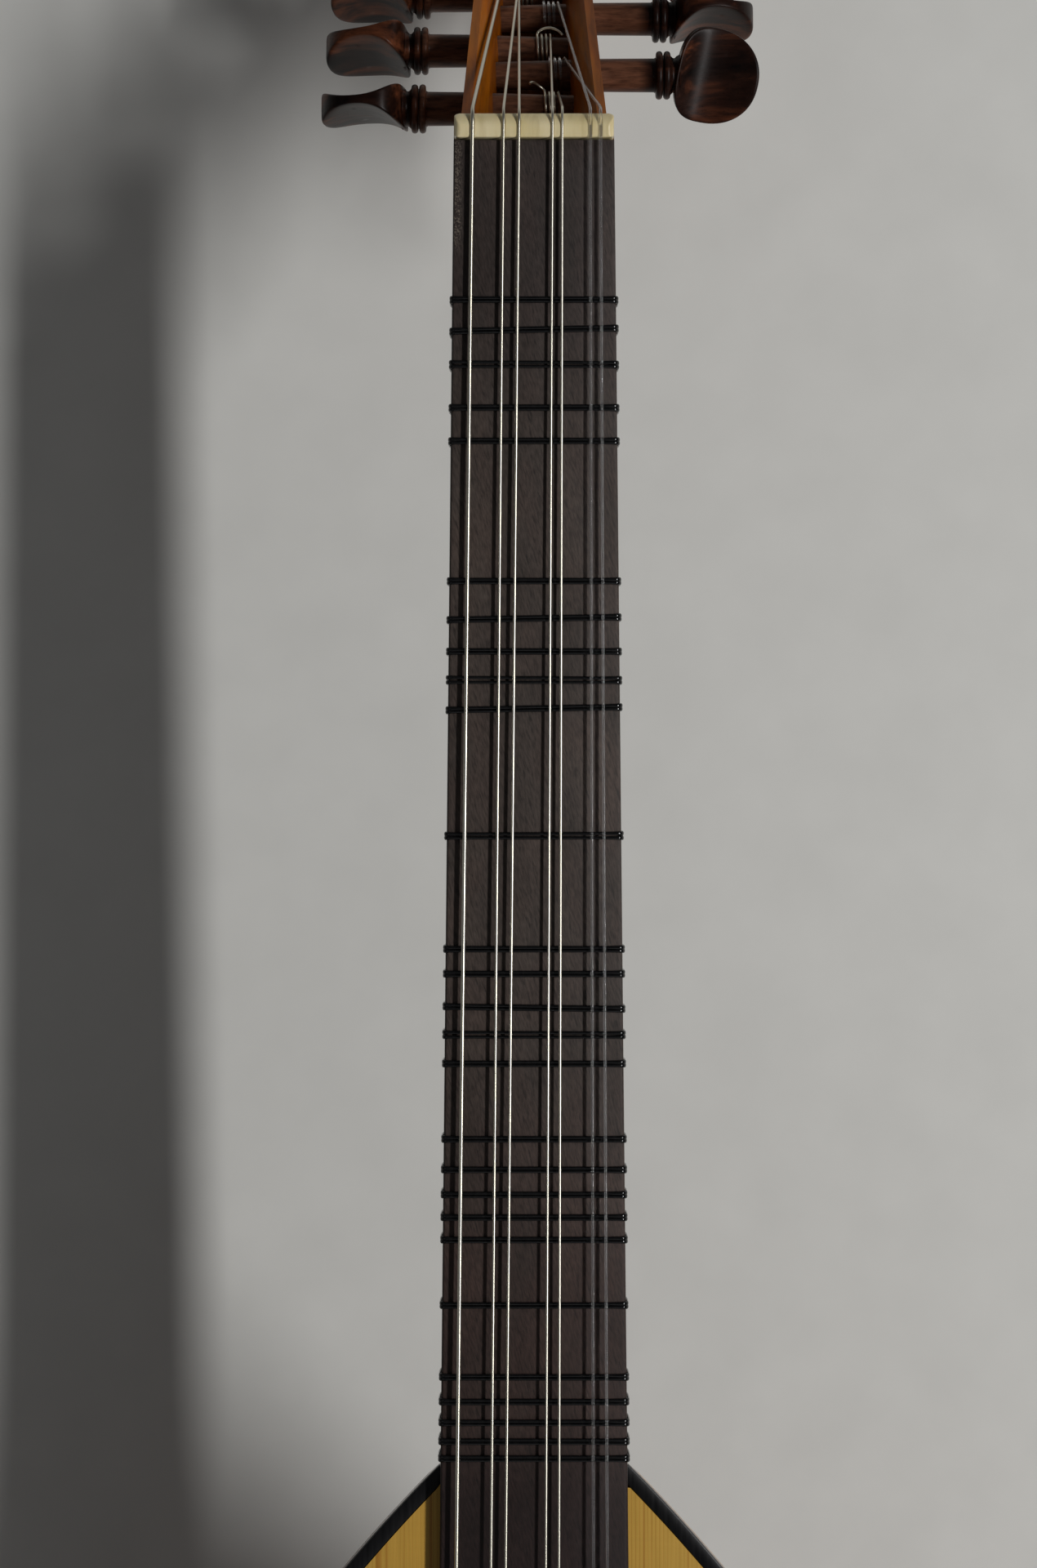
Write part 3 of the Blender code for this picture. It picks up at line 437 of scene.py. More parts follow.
def make_peg_wood():
    finish = wood("peg_wood", PEG_TONES, (1000, 9), ALONG_X, roughness=(0.28, 0.40), pores=0.35, specular=0.12)
    polished = finish.shader.inputs["Base Color"].links[0].from_socket
    away = finish.calculate("ABSOLUTE", finish.split(finish.place())[0])
    shaft_noise = finish.noise((160, 900, 900), 4.0, 0.6)
    pale = finish.ramp(shaft_noise, (0.32, srgb(68, 42, 31)), (0.62, srgb(124, 82, 61)))
    share = finish.between(away, PALE_SHAFT_TO, PALE_SHAFT_FROM, 0.0, 0.75)
    return finish.apply(finish.mix(share, polished, pale))


peg_wood = make_peg_wood()
print("peg wood ready")

# %% [markdown]
# The fingerboard is another matter. It is dark hardwood with no streaks, only short fine fibres that cross it at
# a slight slant, like felt. It is darker by the nut and toward the body. At the bass edge near the nut the
# fingers have worn the dark surface through, and pale specks show. All of this goes by the place on the board.

# %% Fingerboard wood
FIBRE_SLANT = (0, 0, math.radians(-14))
BOARD_SHADES = (
    (-75 * MM, -35 * MM, 0.75, (0.62, 0.61, 0.66, 1)),
    (-200 * MM, -300 * MM, 1.0, (0.70, 0.56, 0.55, 1)),
    (-312 * MM, -336 * MM, 1.0, (0.50, 0.46, 0.50, 1)),
)


def make_fingerboard_wood():
    finish = Finish("fingerboard_wood", 0.5, specular=0.32)
    clouds = finish.noise((90, 26, 90), 3.0)
    fibres = finish.noise(finish.place((2300, 420, 2300), FIBRE_SLANT), 4.0, 0.6)
    pits = finish.noise(finish.place((1500, 240, 1500), FIBRE_SLANT), 2.0)
    reddish = finish.ramp(finish.noise((140, 60, 140), 2.0), (0.4, (1.04, 0.98, 0.97, 1)), (0.6, 1.0))
    open_pores = finish.ramp(pits, (0.30, 0.58), (0.40, 1.0))
    colour = finish.ramp(clouds, (0.30, srgb(58, 50, 45)), (0.5, srgb(65, 56, 51)), (0.70, srgb(74, 64, 58)))
    for pattern in (reddish, finish.ramp(fibres, (0.30, 0.56), (0.64, 1.26)), open_pores):
        colour = finish.tint(colour, pattern)
    x, y = finish.split(finish.place())
    front = float(ORIGIN[1])
    by_edge = finish.between(x, -17.2 * MM, -18.6 * MM)
    strip = finish.calculate("MULTIPLY", by_edge, finish.between(y, front - 30 * MM, front - 22 * MM))
    specks = finish.between(finish.noise((3000, 1900, 3000), 3.0, 0.7), 0.50, 0.60)
    colour = finish.mix(finish.calculate("MULTIPLY", strip, specks), colour, srgb(132, 121, 106))
    for start, end, most, shade in BOARD_SHADES:
        colour = finish.tint(colour, shade, finish.between(y, front + start, front + end, 0.0, most))
    return finish.apply(colour, fibres, (0.46, 0.62), (open_pores, 0.16, 0.08 * MM))


fingerboard_wood = make_fingerboard_wood()
print("fingerboard wood ready")

# %% [markdown]
# Spruce for a soundboard is cut so that its year rings stand on edge. From above they are straight lines along
# the strings, about a millimetre apart. A wave texture gives the rings, strong in some places and faint in
# others, and noise drawn out along the grain adds stray darker lines between them. Fine fibres and thin
# crossing flecks make the silky sheen.

# %% Spruce


def make_spruce():
    finish = Finish("spruce", 0.45, coat=0.25, coat_roughness=0.25)
    wave = {"Scale": 1.0, "Distortion": 2.4, "Detail": 2.0, "Detail Scale": 0.35}
    rings = finish.add("TexWave", {"Vector": finish.place((315, 2.5, 315)), **wave}, bands_direction="X")["Fac"]
    fibres = finish.noise((2600, 60, 2600), 3.0)
    base = finish.ramp(finish.noise((9, 2.2, 9), 3.0), (0.3, srgb(190, 146, 54)), (0.7, srgb(209, 167, 77)))
    strength = finish.between(finish.noise((150, 2, 150), 2.0), 0.35, 0.65, 0.15, 0.8)
    colour = finish.tint(base, finish.ramp(rings, (0.0, (0.86, 0.76, 0.60, 1)), (0.4, 1.0)), strength)
    for pattern, *stops in (
        (finish.noise((820, 2.5, 820), 2.0), (0.35, (0.74, 0.59, 0.38, 1)), (0.46, 1.0)),
        (fibres, (0.3, 0.93), (0.7, 1.06)),
        (finish.noise((60, 700, 60), 2.0), (0.35, 0.985), (0.62, 1.01)),
    ):
        colour = finish.tint(colour, finish.ramp(pattern, *stops))
    return finish.apply(colour, fibres, (0.38, 0.5), (rings, 0.12, 0.05 * MM))


spruce = make_spruce()
print("spruce ready")

# %% [markdown]
# The small finishes: bone is warm and a little translucent with faint streaks, the edging is satin black, tied
# frets are glossy black nylon, plain strings are clear nylon, and the five lower strings are nylon wound with
# silvered wire, whose turns show as a fine ripple along the string.

# %% Bone, black, nylon and wound metal
TURNS_PER_METRE = 4200
WAVE_SCALE_PER_TURN = 2 * math.pi / 20


def make_bone():
    finish = Finish("bone", 0.34, coat=0.3)
    finish.shade({"Subsurface Weight": 0.12, "Subsurface Radius": (0.002, 0.0014, 0.0008)})
    streaks = finish.noise((520, 60, 260), 4.0, 0.55)
    base = finish.ramp(finish.noise((150, 90, 150), 2.0), (0.3, srgb(226, 208, 156)), (0.7, srgb(240, 225, 184)))
    lined = finish.ramp(streaks, (0.32, (0.86, 0.84, 0.78, 1)), (0.55, 1.0))
    return finish.apply(finish.tint(base, lined), bump=(streaks, 0.06, 0.05 * MM))


def make_black_wood():
    finish = Finish("black_wood", 0.34, specular=0.3)
    fibres = finish.noise((1500, 90, 1500), 4.0)
    colour = finish.ramp(fibres, (0.3, srgb(9, 9, 10)), (0.7, srgb(20, 19, 20)))
    return finish.apply(colour, fibres, (0.28, 0.42), (fibres, 0.1, 0.05 * MM))


def make_black_nylon():
    finish = Finish("black_nylon", 0.12)
    scuffs = finish.noise((900, 900, 900), 3.0)
    return finish.apply(finish.ramp(scuffs, (0.4, srgb(6, 6, 7)), (0.8, srgb(18, 17, 17))), scuffs, (0.08, 0.18))


def make_clear_nylon():
    finish = Finish("clear_nylon", 0.12)
    finish.shade({"Transmission Weight": 0.98, "IOR": 1.53})
    haze = finish.noise((300, 40, 300), 3.0)
    return finish.apply(finish.ramp(haze, (0.3, 0.92), (0.7, 0.98)), haze, (0.09, 0.18))


def make_wound_silver():
    """Metal whose bump is a wave along the string's own length, a turn of the wire for each crest."""
    finish = Finish("wound_silver", 0.3, metallic=1.0)
    inputs = {"Vector": finish.lengths(), "Scale": TURNS_PER_METRE * WAVE_SCALE_PER_TURN}
    wire = finish.add("TexWave", inputs, bands_direction="X")["Fac"]
    tarnish = finish.noise((60, 9, 60), 2.0)
    colour = finish.ramp(tarnish, (0.3, srgb(214, 208, 190)), (0.7, srgb(232, 228, 214)))
    return finish.apply(colour, tarnish, (0.30, 0.36), (wire, 0.2, 0.01 * MM))


bone = make_bone()
black_wood = make_black_wood()
black_nylon = make_black_nylon()
clear_nylon = make_clear_nylon()
wound_silver = make_wound_silver()
print("finishes:", [f.material.name for f in (bone, black_wood, black_nylon, clear_nylon, wound_silver)])

# %% [markdown]
# ## The body's outline
#
# Bowl, soundboard and edging all follow one pear-shaped outline. It is two cubic curves on each side: one from
# the neck's shoulder to the widest place, one from there round to the tail. The bowl's section is a half
# circle on that width, so the same curve seen from the side is the bowl's depth.

# %% The outline
BODY_JOIN_Y = bowl_high[1] + FIT
TAIL_Y = bowl_low[1]
BODY_HALF_WIDTH = bowl_high[0]
RIM_Z = bowl_high[2]
SHOULDER_HALF_WIDTH = 23.3 * MM
WIDEST_FROM_JOIN = 269 * MM


def cubic(points, steps):
    """Places and unit directions on a cubic curve with four control points."""
    a, b, c, d = (np.array(p) for p in points)
    t = steps[:, None]
    s = 1 - t
    place = a * s**3 + 3 * b * s * s * t + 3 * c * s * t * t + d * t**3
    return place, unit((b - a) * s * s + 2 * (c - b) * s * t + (d - c) * t * t)


def half_outline(outset, steps=64):
    """The treble half from neck to tail, moved outwards by outset, as (x, y) points."""
    widest_y = BODY_JOIN_Y - WIDEST_FROM_JOIN
    after = widest_y - TAIL_Y
    reach = BODY_HALF_WIDTH - SHOULDER_HALF_WIDTH
    shoulder = [
        (SHOULDER_HALF_WIDTH, BODY_JOIN_Y),
        (SHOULDER_HALF_WIDTH + 0.503 * reach, BODY_JOIN_Y - 0.238 * WIDEST_FROM_JOIN),
        (BODY_HALF_WIDTH, BODY_JOIN_Y - 0.647 * WIDEST_FROM_JOIN),
        (BODY_HALF_WIDTH, widest_y),
    ]
    bottom = [
        (BODY_HALF_WIDTH, widest_y),
        (BODY_HALF_WIDTH, widest_y - 0.576 * after),
        (0.567 * BODY_HALF_WIDTH, TAIL_Y),
        (0.0, TAIL_Y),
    ]
    upper, upper_way = cubic(shoulder, np.arange(steps) / steps)
    lower, lower_way = cubic(bottom, np.arange(steps + 1) / steps)
    place, way = np.concatenate([upper, lower]), np.concatenate([upper_way, lower_way])
    moved = place + outset * np.stack([-way[:, 1], way[:, 0]], axis=1)
    moved[-1, 0] = 0.0
    return moved


def whole_outline(outset, steps=64):
    """From the bass side of the neck round the tail to the treble side."""
    treble = half_outline(outset, steps)
    return np.concatenate([treble[:-1] * [-1, 1], treble[::-1]])


print("body", round((BODY_JOIN_Y - TAIL_Y) * 1000), "mm long and", round(2000 * BODY_HALF_WIDTH), "mm wide")

# %% [markdown]
# ## Bowl
#
# The bowl is glued up from seventeen ribs, bent over a mould and planed to meet edge to edge. Each is nearly
# flat across, so the bowl's section is a polygon with soft creases. One grid does it: rows are stations along
# the outline, columns go from rim to rim with a few points on each rib. The map of lengths follows each rib, so
# that its grain runs with it, and each rib takes a tone of its own.

# %% Ribs
RIB_COUNT = 17
POINTS_ON_RIB = 5
RIB_WIDTH = 28 * MM
RIB_SHIFT = 3.7
BOWL_THICKNESS = 2.5 * MM
TIP_HALF_WIDTH = 0.05 * MM
RIB_TONES = ((70, 38, 24), (112, 66, 40), (146, 94, 58))


def bowl_skin(outline):
    """The bowl's surface on an outline: (half width times cosine, y, rim less half width times sine). Between
    two rib edges the points lie on the chord."""
    step = math.pi / RIB_COUNT
    within = np.arange(POINTS_ON_RIB) / POINTS_ON_RIB
    angle = np.append(((np.arange(RIB_COUNT)[:, None] + within) * step).ravel(), math.pi)
    chord = math.cos(step / 2) / np.cos((within - 0.5) * step)
    out = np.append(np.tile(chord, RIB_COUNT), 1.0)
    x, y = outline[:, :1], outline[:, 1:]
    return side_by_side(x * out * np.cos(angle), y, RIM_Z - x * out * np.sin(angle))


def closed_skin(name, outer, inner):
    """A shell between two skins with the same rows and columns, closed all round its edge."""
    rows, columns = outer.shape[:2]
    count = rows * columns
    corner = np.arange(count).reshape(rows, columns)
    edge = np.concatenate([corner[0], corner[1:, -1], corner[-1, -2::-1], corner[-2:0:-1, 0]])
    after = np.roll(edge, -1)
    wall = np.stack([edge, after, after + count, edge + count], axis=1)
    sheet = grid_faces(rows, columns, around=False)
    faces = np.concatenate([sheet, sheet[:, ::-1] + count, wall])
    lengths = path_lengths(outer[:, columns // 2], np.arange(columns) / POINTS_ON_RIB)
    points = np.concatenate([outer.reshape(-1, 3), inner.reshape(-1, 3)])
    return make_mesh(name, points, faces.tolist(), np.concatenate([lengths, lengths]))


def rib_vectors(finish, across, stretch):
    """Vectors that follow each rib: its own number shifts the pattern, so that no two ribs match."""
    along, rib = finish.split(finish.lengths())
    shift = finish.calculate("MULTIPLY", finish.calculate("FLOOR", rib), RIB_SHIFT)
    vectors = []
    for shorten, widen in ((1, 1), (1 / 4, 1 / 7), (7, 3)):
        x = finish.calculate("MULTIPLY", along, across / stretch * shorten)
        y = finish.calculate("MULTIPLY", rib, RIB_WIDTH * across * widen)
        vectors.append(finish.add("CombineXYZ", {"X": x, "Y": y, "Z": shift})["Vector"])
    return vectors


rib_wood = wood("rib_wood", RIB_TONES, (420, 16), roughness=(0.24, 0.36), pores=0.2, coat=0.5, vectors=rib_vectors)
outer_line = half_outline(0.0)
inner_line = half_outline(-BOWL_THICKNESS)
outer_line[0, 1] = inner_line[0, 1] = BODY_JOIN_Y - FIT
outer_line[-1, 0] = inner_line[-1, 0] = TIP_HALF_WIDTH
bowl = closed_skin("bowl_ribs", bowl_skin(outer_line), bowl_skin(inner_line))
finish_piece(bowl, rib_wood, nodes=["bowl"], sharp=6)
print("bowl:", len(bowl.data.polygons), "faces")

# %% [markdown]
# Between the ribs runs a hair-thin line of pale wood. It is a narrow strip along each joint, standing just
# proud of the ribs, which is how it catches the light on a polished bowl.

# %% Lines between the ribs
LINE_WIDTH = 0.7 * MM
LINE_PROUD = 0.02 * MM
LINE_SUNK = 0.4 * MM


def rib_line(joint):
    """A four-sided strip along one joint between ribs, drawn to the tail."""
    outline = half_outline(0.0)[1:-1]
    cos, sin = math.cos(joint * math.pi / RIB_COUNT), math.sin(joint * math.pi / RIB_COUNT)
    width = np.minimum(LINE_WIDTH, 0.12 * outline[:, 0])
    radial = outline[:, :1] + np.array([-LINE_SUNK, -LINE_SUNK, LINE_PROUD, LINE_PROUD])
    sideways = width[:, None] * np.array([-0.5, 0.5, 0.5, -0.5])
    return side_by_side(radial * cos + sideways * sin, outline[:, 1:], RIM_Z - radial * sin + sideways * cos)


finish_piece(solid("bowl_lines", *map(rib_line, range(1, RIB_COUNT))), pale_wood, sharp=50)
print("lines:", RIB_COUNT - 1)

# %% [markdown]
# The ribs run out to points at the tail, and a cap covers them. It is a piece of the same round surface, a
# little further out, with a curved upper edge where it thins down to the ribs.

# %% Tail cap
CAP_THICKNESS = 2.0 * MM
CAP_GAP = 0.15 * MM


def tail_cap():
    """The last stations of the bowl's skin, moved out, and thinned toward the cap's forward edge."""
    base = half_outline(CAP_GAP, steps=160)
    proud = half_outline(2 * CAP_GAP + CAP_THICKNESS, steps=160)
    kept = base[:, 1] < local_box("tail_cap")[1][1]
    base, proud = base[kept], proud[kept]
    share = np.clip(np.arange(len(base)) / (0.35 * len(base)), 0.12, 1.0)[:, None]
    outer = base + (proud - base) * np.sqrt(share)
    base[-1, 0] = outer[-1, 0] = TIP_HALF_WIDTH
    return closed_skin("tail_cap_shell", bowl_skin(outer), bowl_skin(base))


cap = finish_piece(tail_cap(), bridge_wood, nodes=["tail_cap"], sharp=40)
print("tail cap:", len(cap.data.polygons), "faces")

# %% [markdown]
# ## Soundboard, edging and rosette
#
# The soundboard is flat, so its grid only fills the space between the sound hole and the outline, with a
# column for each spoke. The black edging is a narrow strip round it with softened upper corners.

# %% Soundboard
SOUNDBOARD_THICKNESS = 2.0 * MM
EDGING_WIDTH = 3.5 * MM
rosette_low, rosette_high = local_box("rosette")
HOLE_CENTRE = ((rosette_low + rosette_high) / 2)[:2]
HOLE_RADIUS = (rosette_high[0] - rosette_low[0]) / 2 - 2.0 * MM


def on_circle(radius, angle):
    return HOLE_CENTRE + radius * np.stack([np.cos(angle), np.sin(angle)], axis=1)


def soundboard_grid():
    """Spokes from the sound hole to the outline, at the top and then back along the bottom."""
    edge = whole_outline(-EDGING_WIDTH - 0.1 * MM)
    edge[0, 1] = BODY_JOIN_Y - 1.0 * MM
    edge = edge[:-1]
    hole = on_circle(HOLE_RADIUS, np.arctan2(edge[:, 1] - HOLE_CENTRE[1], edge[:, 0] - HOLE_CENTRE[0]))
    flat = hole + (edge - hole) * np.linspace(0, 1, 12)[:, None, None]
    x, y = flat[..., 0], flat[..., 1]
    return np.concatenate([side_by_side(x, y, 0.0), side_by_side(x, y, -SOUNDBOARD_THICKNESS)[::-1]])


soundboard = solid("soundboard_plate", soundboard_grid(), looped=True)
finish_piece(soundboard, spruce, nodes=["soundboard"])
print("soundboard:", len(soundboard.data.polygons), "faces")

# %% Edging


def edging_grid():
    """Rings of the strip's section: its two faces, its top with rounded corners, and its underside."""
    corner = 0.35 * MM
    outer_edge = [(0.0, -SOUNDBOARD_THICKNESS), (0.0, -corner), (-0.3 * corner, -0.3 * corner), (-corner, 0.0)]
    section = outer_edge + [(-EDGING_WIDTH - x, z) for x, z in outer_edge[::-1]]
    lines = np.stack([whole_outline(outset, steps=96) for outset, _ in section], axis=1)
    return side_by_side(lines[..., 0], lines[..., 1], np.array(section)[:, 1])


finish_piece(solid("edging_strip", edging_grid()), black_wood, nodes=["edging"])
print("edging:", round(1000 * EDGING_WIDTH, 1), "mm wide")

# %% [markdown]
# The rosette is pierced in the old geometric manner: straight straps woven into a twelve-pointed star, held by
# rings. Every strap is the same little bar laid between two points of a circle, so one function makes them all.
# Round the hole three thin rings are inlaid in the soundboard.

# %% Rosette
ROSETTE_TOP = rosette_high[2]
STAR_POINTS = 12
STRAP_WIDTH = 1.5 * MM
STRAP_DEPTH = 1.3 * MM
STRAP_SECTION = ((1.0, 0.0), (1.0, 0.7), (0.6, 1.0), (-0.6, 1.0), (-1.0, 0.7), (-1.0, 0.0))
RING_SINK = 0.02 * MM
INLAY_PROUD = 0.04 * MM


def straps(radius, skip, offset, lift):
    """Bars that join every so-many-th of twelve points on a circle. Their tops are narrower than their feet."""
    turn = 2 * math.pi / STAR_POINTS
    number = np.arange(STAR_POINTS) + offset
    starts, ends = on_circle(radius, number * turn), on_circle(radius, (number + skip) * turn)
    way = unit(ends - starts)
    side = np.stack([-way[:, 1], way[:, 0]], axis=1) * STRAP_WIDTH / 2
    corners = []
    for end in (starts, ends):
        for place, height in STRAP_SECTION:
            level = ROSETTE_TOP - STRAP_DEPTH * (1 - height) - lift
            corners.append(side_by_side(*(end + side * place).T, level))
    return np.stack(corners, axis=1).reshape(STAR_POINTS, 2, len(STRAP_SECTION), 3)


def add_ring(name, radius, width, top, depth, surface):
    """A flat ring of rectangular section with softened upper edges."""
    soft = min(0.25 * MM, 0.2 * width)
    half = [(-width / 2, -depth), (-width / 2, -soft), (-width / 2 + soft, 0)]
    section = np.array(half + [(-x, z) for x, z in half[::-1]])
    angle = circle(96)[:, None]
    out = radius + section[:, 0]
    x, y = HOLE_CENTRE[0] + np.cos(angle) * out, HOLE_CENTRE[1] + np.sin(angle) * out
    return finish_piece(solid(name, side_by_side(x, y, top + section[:, 1]), looped=True), surface)


rim = HOLE_RADIUS + 1.0 * MM
star = [
    *straps(rim, 5, 0.0, 0.0),
    *straps(rim, 4, 0.5, 0.1 * MM),
    *straps(0.66 * rim, 5, 0.5, 0.15 * MM),
    *straps(0.40 * rim, 4, 0.0, 0.05 * MM),
]
finish_piece(solid("rosette_straps", *star), rosette_wood, nodes=["rosette"], sharp=20)
for number, (share, width) in enumerate(((1.0, 4.0), (0.66, 1.8), (0.40, 1.6), (0.14, 1.6)), 1):
    ring_radius = share * (HOLE_RADIUS + 0.4 * MM) - (0.6 * MM if share == 1.0 else 0.0)
    ring_top = ROSETTE_TOP - RING_SINK
    add_ring(f"rosette_ring_{number}", ring_radius, width * MM, ring_top, 1.5 * MM, rosette_wood)
for name, outset, width, surface in (
    ("dark", 4.0 * MM, 1.4 * MM, black_wood),
    ("pale", 5.4 * MM, 1.0 * MM, pale_wood),
    ("edge", 6.6 * MM, 1.0 * MM, black_wood),
):
    add_ring("sound_hole_inlay_" + name, HOLE_RADIUS + outset, width, INLAY_PROUD, 1.0 * MM, surface)
print("rosette:", len(star), "straps")

# %% [markdown]
# ## Neck, fingerboard and nut
#
# The neck is a half-round bar that thickens toward the body, cut slanting at the pegbox. Rows go along it and
# columns round its section. The fingerboard is a plain dark board with a worn edge, and its end over the
# soundboard is drawn to an ogee.

# %% Neck
NECK_HALF_WIDTH_AT_NUT = 19.7 * MM
NECK_TAPER = 0.00993
NECK_DEPTH_AT_NUT = 18.0 * MM
NECK_DEPTH_AT_BODY = 25.0 * MM


def neck_half_width(y):
    return NECK_HALF_WIDTH_AT_NUT - NECK_TAPER * y


def neck_depth(y):
    return NECK_DEPTH_AT_NUT + (NECK_DEPTH_AT_BODY - NECK_DEPTH_AT_NUT) * np.clip(y / BODY_JOIN_Y, 0, 1)


def neck_grid():
    """Half ellipses (half width times cosine, depth times sine) whose first one leans with the pegbox."""
    angle = np.linspace(0, math.pi, 33)
    slant = math.tan(PEGBOX_ANGLE)
    end_y = NUT_LENGTH + FIT - FIT / math.cos(PEGBOX_ANGLE)

    def section(station, y):
        return side_by_side(neck_half_width(station) * np.cos(angle), y, -neck_depth(station) * np.sin(angle))

    leaning = section(0.0, end_y - neck_depth(0.0) * np.sin(angle) * slant)
    stations = np.linspace(end_y - 1.5 * NECK_DEPTH_AT_NUT * slant, BODY_JOIN_Y, 24)
    return np.stack([leaning] + [section(y, y) for y in stations])


finish_piece(solid("neck_back", neck_grid()), neck_wood, nodes=["neck"])
print("neck:", round(1000 * 2 * neck_half_width(0)), "to", round(1000 * 2 * neck_half_width(BODY_JOIN_Y)), "mm wide")

# %% Fingerboard
FINGERBOARD_END_Y = local_box("fingerboard")[0][1]
FINGERBOARD_TIP = 12 * MM
WORN_EDGE = ((0.0, 0.9), (0.12, 0.4), (0.4, 0.1), (0.9, 0.0))


def fingerboard_outline():
    """The board's treble edge: straight along the neck, then an ogee of two opposite arcs to a point."""
    straight_y = np.linspace(-FIT, FINGERBOARD_END_Y + FINGERBOARD_TIP, 40)
    straight = np.stack([neck_half_width(straight_y), straight_y], axis=1)
    share = np.linspace(0, 1, 26)[1:]
    drop = 0.5 - 0.5 * np.cos(math.pi * share)
    y = straight[-1, 1] - FINGERBOARD_TIP * (0.22 * np.sin(math.pi * share) + drop**1.6)
    tip = np.stack([straight[-1, 0] * (1 - share), np.maximum(y, FINGERBOARD_END_Y)], axis=1)
    return np.concatenate([straight, tip])


def fingerboard_grid():
    """Levels of the outline from the underside to the top, each drawn in a little where the edge is worn."""
    treble = fingerboard_outline()
    outline = np.concatenate([treble, treble[-2::-1] * [-1, 1]])
    rings = []
    for inset, z in [(0.0, FIT)] + [(inset * MM, FINGERBOARD_TOP - below * MM) for inset, below in WORN_EDGE]:
        y = np.minimum(np.maximum(outline[:, 1], FINGERBOARD_END_Y + inset), -FIT - 0.5 * inset)
        rings.append(side_by_side(outline[:, 0] * (1 - inset / neck_half_width(0)), y, z))
    return np.stack(rings)


finish_piece(solid("fingerboard_plate", fingerboard_grid()), fingerboard_wood, nodes=["fingerboard"], sharp=30)
print("fingerboard ends at Y", round(1000 * FINGERBOARD_END_Y), "mm")

# %% [markdown]
# The nut is a bar of bone, rounded over its back and at its ends. Its section is carried across the neck, and
# dips to a shallow slot under every string.

# %% Nut
STRING_X_AT_NUT = np.array([-15.1, -7.5, -3.7, 4.5, 6.9, 13.8, 16.3]) * MM
STRING_X_AT_BRIDGE = np.array([-22.6, -13.4, -10.0, 1.3, 5.3, 15.2, 19.5]) * MM
STRING_DIAMETERS = np.array([1.0, 0.75, 0.75, 0.65, 0.65, 0.75, 0.75]) * MM
STRING_Z_AT_NUT = 6.15 * MM
STRING_Z_AT_BRIDGE = 8.8 * MM
NUT_TOP = STRING_Z_AT_NUT - 0.10 * MM
NUT_CORNER = 1.7 * MM
NUT_FRONT_ROUND = 0.7 * MM
NUT_FRONT_DROP = 0.55 * MM
SLOT_CLEARANCE = 0.08 * MM


def quarter(share):
    """The drop of a quarter circle's edge, from 1 at its start to 0 at its top."""
    return 1 - np.sqrt(1 - (1 - share) ** 2)


def nut_section(points=28):
    """The section's top from front to back: a quarter turn up, a gentle crown, and a long fall at the back."""
    y = NUT_LENGTH * (0.5 - 0.5 * np.cos(math.pi * np.linspace(0, 1, points)))
    rise = 1 - NUT_FRONT_DROP / (NUT_TOP - FIT) * quarter(np.clip(y / NUT_FRONT_ROUND, 0, 1))
    fall = np.clip((y - 0.42 * NUT_LENGTH) / (0.58 * NUT_LENGTH), 0, 1)
    return y, FIT + (NUT_TOP - FIT) * rise * (1 - 0.40 * fall**2.0)


def nut_grid():
    """Sections across the neck. The ends shrink to a round, and the top is cut down beside each string."""
    y, top = nut_section()
    x = np.linspace(-NUT_HALF_WIDTH, NUT_HALF_WIDTH, 393)[:, None]
    end_round = NUT_CORNER * quarter(np.clip((NUT_HALF_WIDTH - np.abs(x)) / NUT_CORNER, 0, 1))
    z = np.minimum(top, NUT_TOP - end_round) - 0.35 * end_round * (y / NUT_LENGTH)
    slot_bottom = STRING_Z_AT_NUT - 0.9 * np.maximum(y - 0.45 * NUT_LENGTH, 0.0) ** 1.15
    for place, diameter in zip(STRING_X_AT_NUT, STRING_DIAMETERS):
        radius = diameter / 2 + SLOT_CLEARANCE
        away = np.abs(x - place)
        dip = np.sqrt(np.maximum(radius**2 - away**2, 0))
        z = np.where(away < radius, np.minimum(z, slot_bottom - dip), z)
    inset = 0.5 * end_round
    upper = side_by_side(x, np.clip(y, inset, NUT_LENGTH - inset), z)
    lower = upper[:, ::-1][:, :: len(y) - 1].copy()
    lower[:, :, 2] = FIT
    return np.concatenate([upper, lower], axis=1)


finish_piece(solid("nut_bar", nut_grid()), bone, nodes=["nut"], sharp=60)
print("nut top at", round(1000 * NUT_TOP, 1), "mm")

# %% [markdown]
# ## Pegbox
#
# The pegbox leans back from the nut by fifty degrees. A helper turns a place in it, given as distance across,
# distance along and height over the cheeks' top edges, into the instrument's own terms, and another turns it
# back. The two cheeks are straight outside and thicken downward inside, which is the amber slope that shows
# beside the strings. Their peg holes are cut with a Boolean and then the edges are softened.

# %% Pegbox cheeks
PEGBOX_LENGTH = 150 * MM
PEGBOX_HALF_WIDTH = 17.9 * MM
PEGBOX_NARROWING = 0.04
PEGBOX_DEPTH = 26 * MM
PEGBOX_SHALLOWING = 0.04
CHEEK_TOP = 2.3 * MM
CHEEK_FOOT = 6.8 * MM
CHEEK_SLOPE_DEPTH = 11 * MM
PEGBOX_BACK_THICKNESS = 4.0 * MM
PEG_RADIUS_AT_COLLAR = 4.2 * MM
PEG_RADIUS_AT_TIP = 3.25 * MM
HOLE_CLEARANCE = 0.1 * MM
HINGES = [joint for joint in frame["joints"] if joint["type"] == "hinge"]
PEG_JOINTS = {joint["child"]: np.array(joint["pos_m"]) - ORIGIN for joint in HINGES}


def pegbox_point(x, along, up):
    """(across, along the pegbox, up from it) to (x, y, z), for whole arrays."""
    y, z = rotated(along, up, -PEGBOX_ANGLE)
    return side_by_side(x, NUT_LENGTH + FIT + y, z)


def to_pegbox(place):
    """A place's distance along the pegbox and its height over the cheeks' top edges."""
    return np.array(rotated(place[1] - NUT_LENGTH - FIT, place[2], PEGBOX_ANGLE))


def pegbox_half_width(along):
    return PEGBOX_HALF_WIDTH - PEGBOX_NARROWING * along


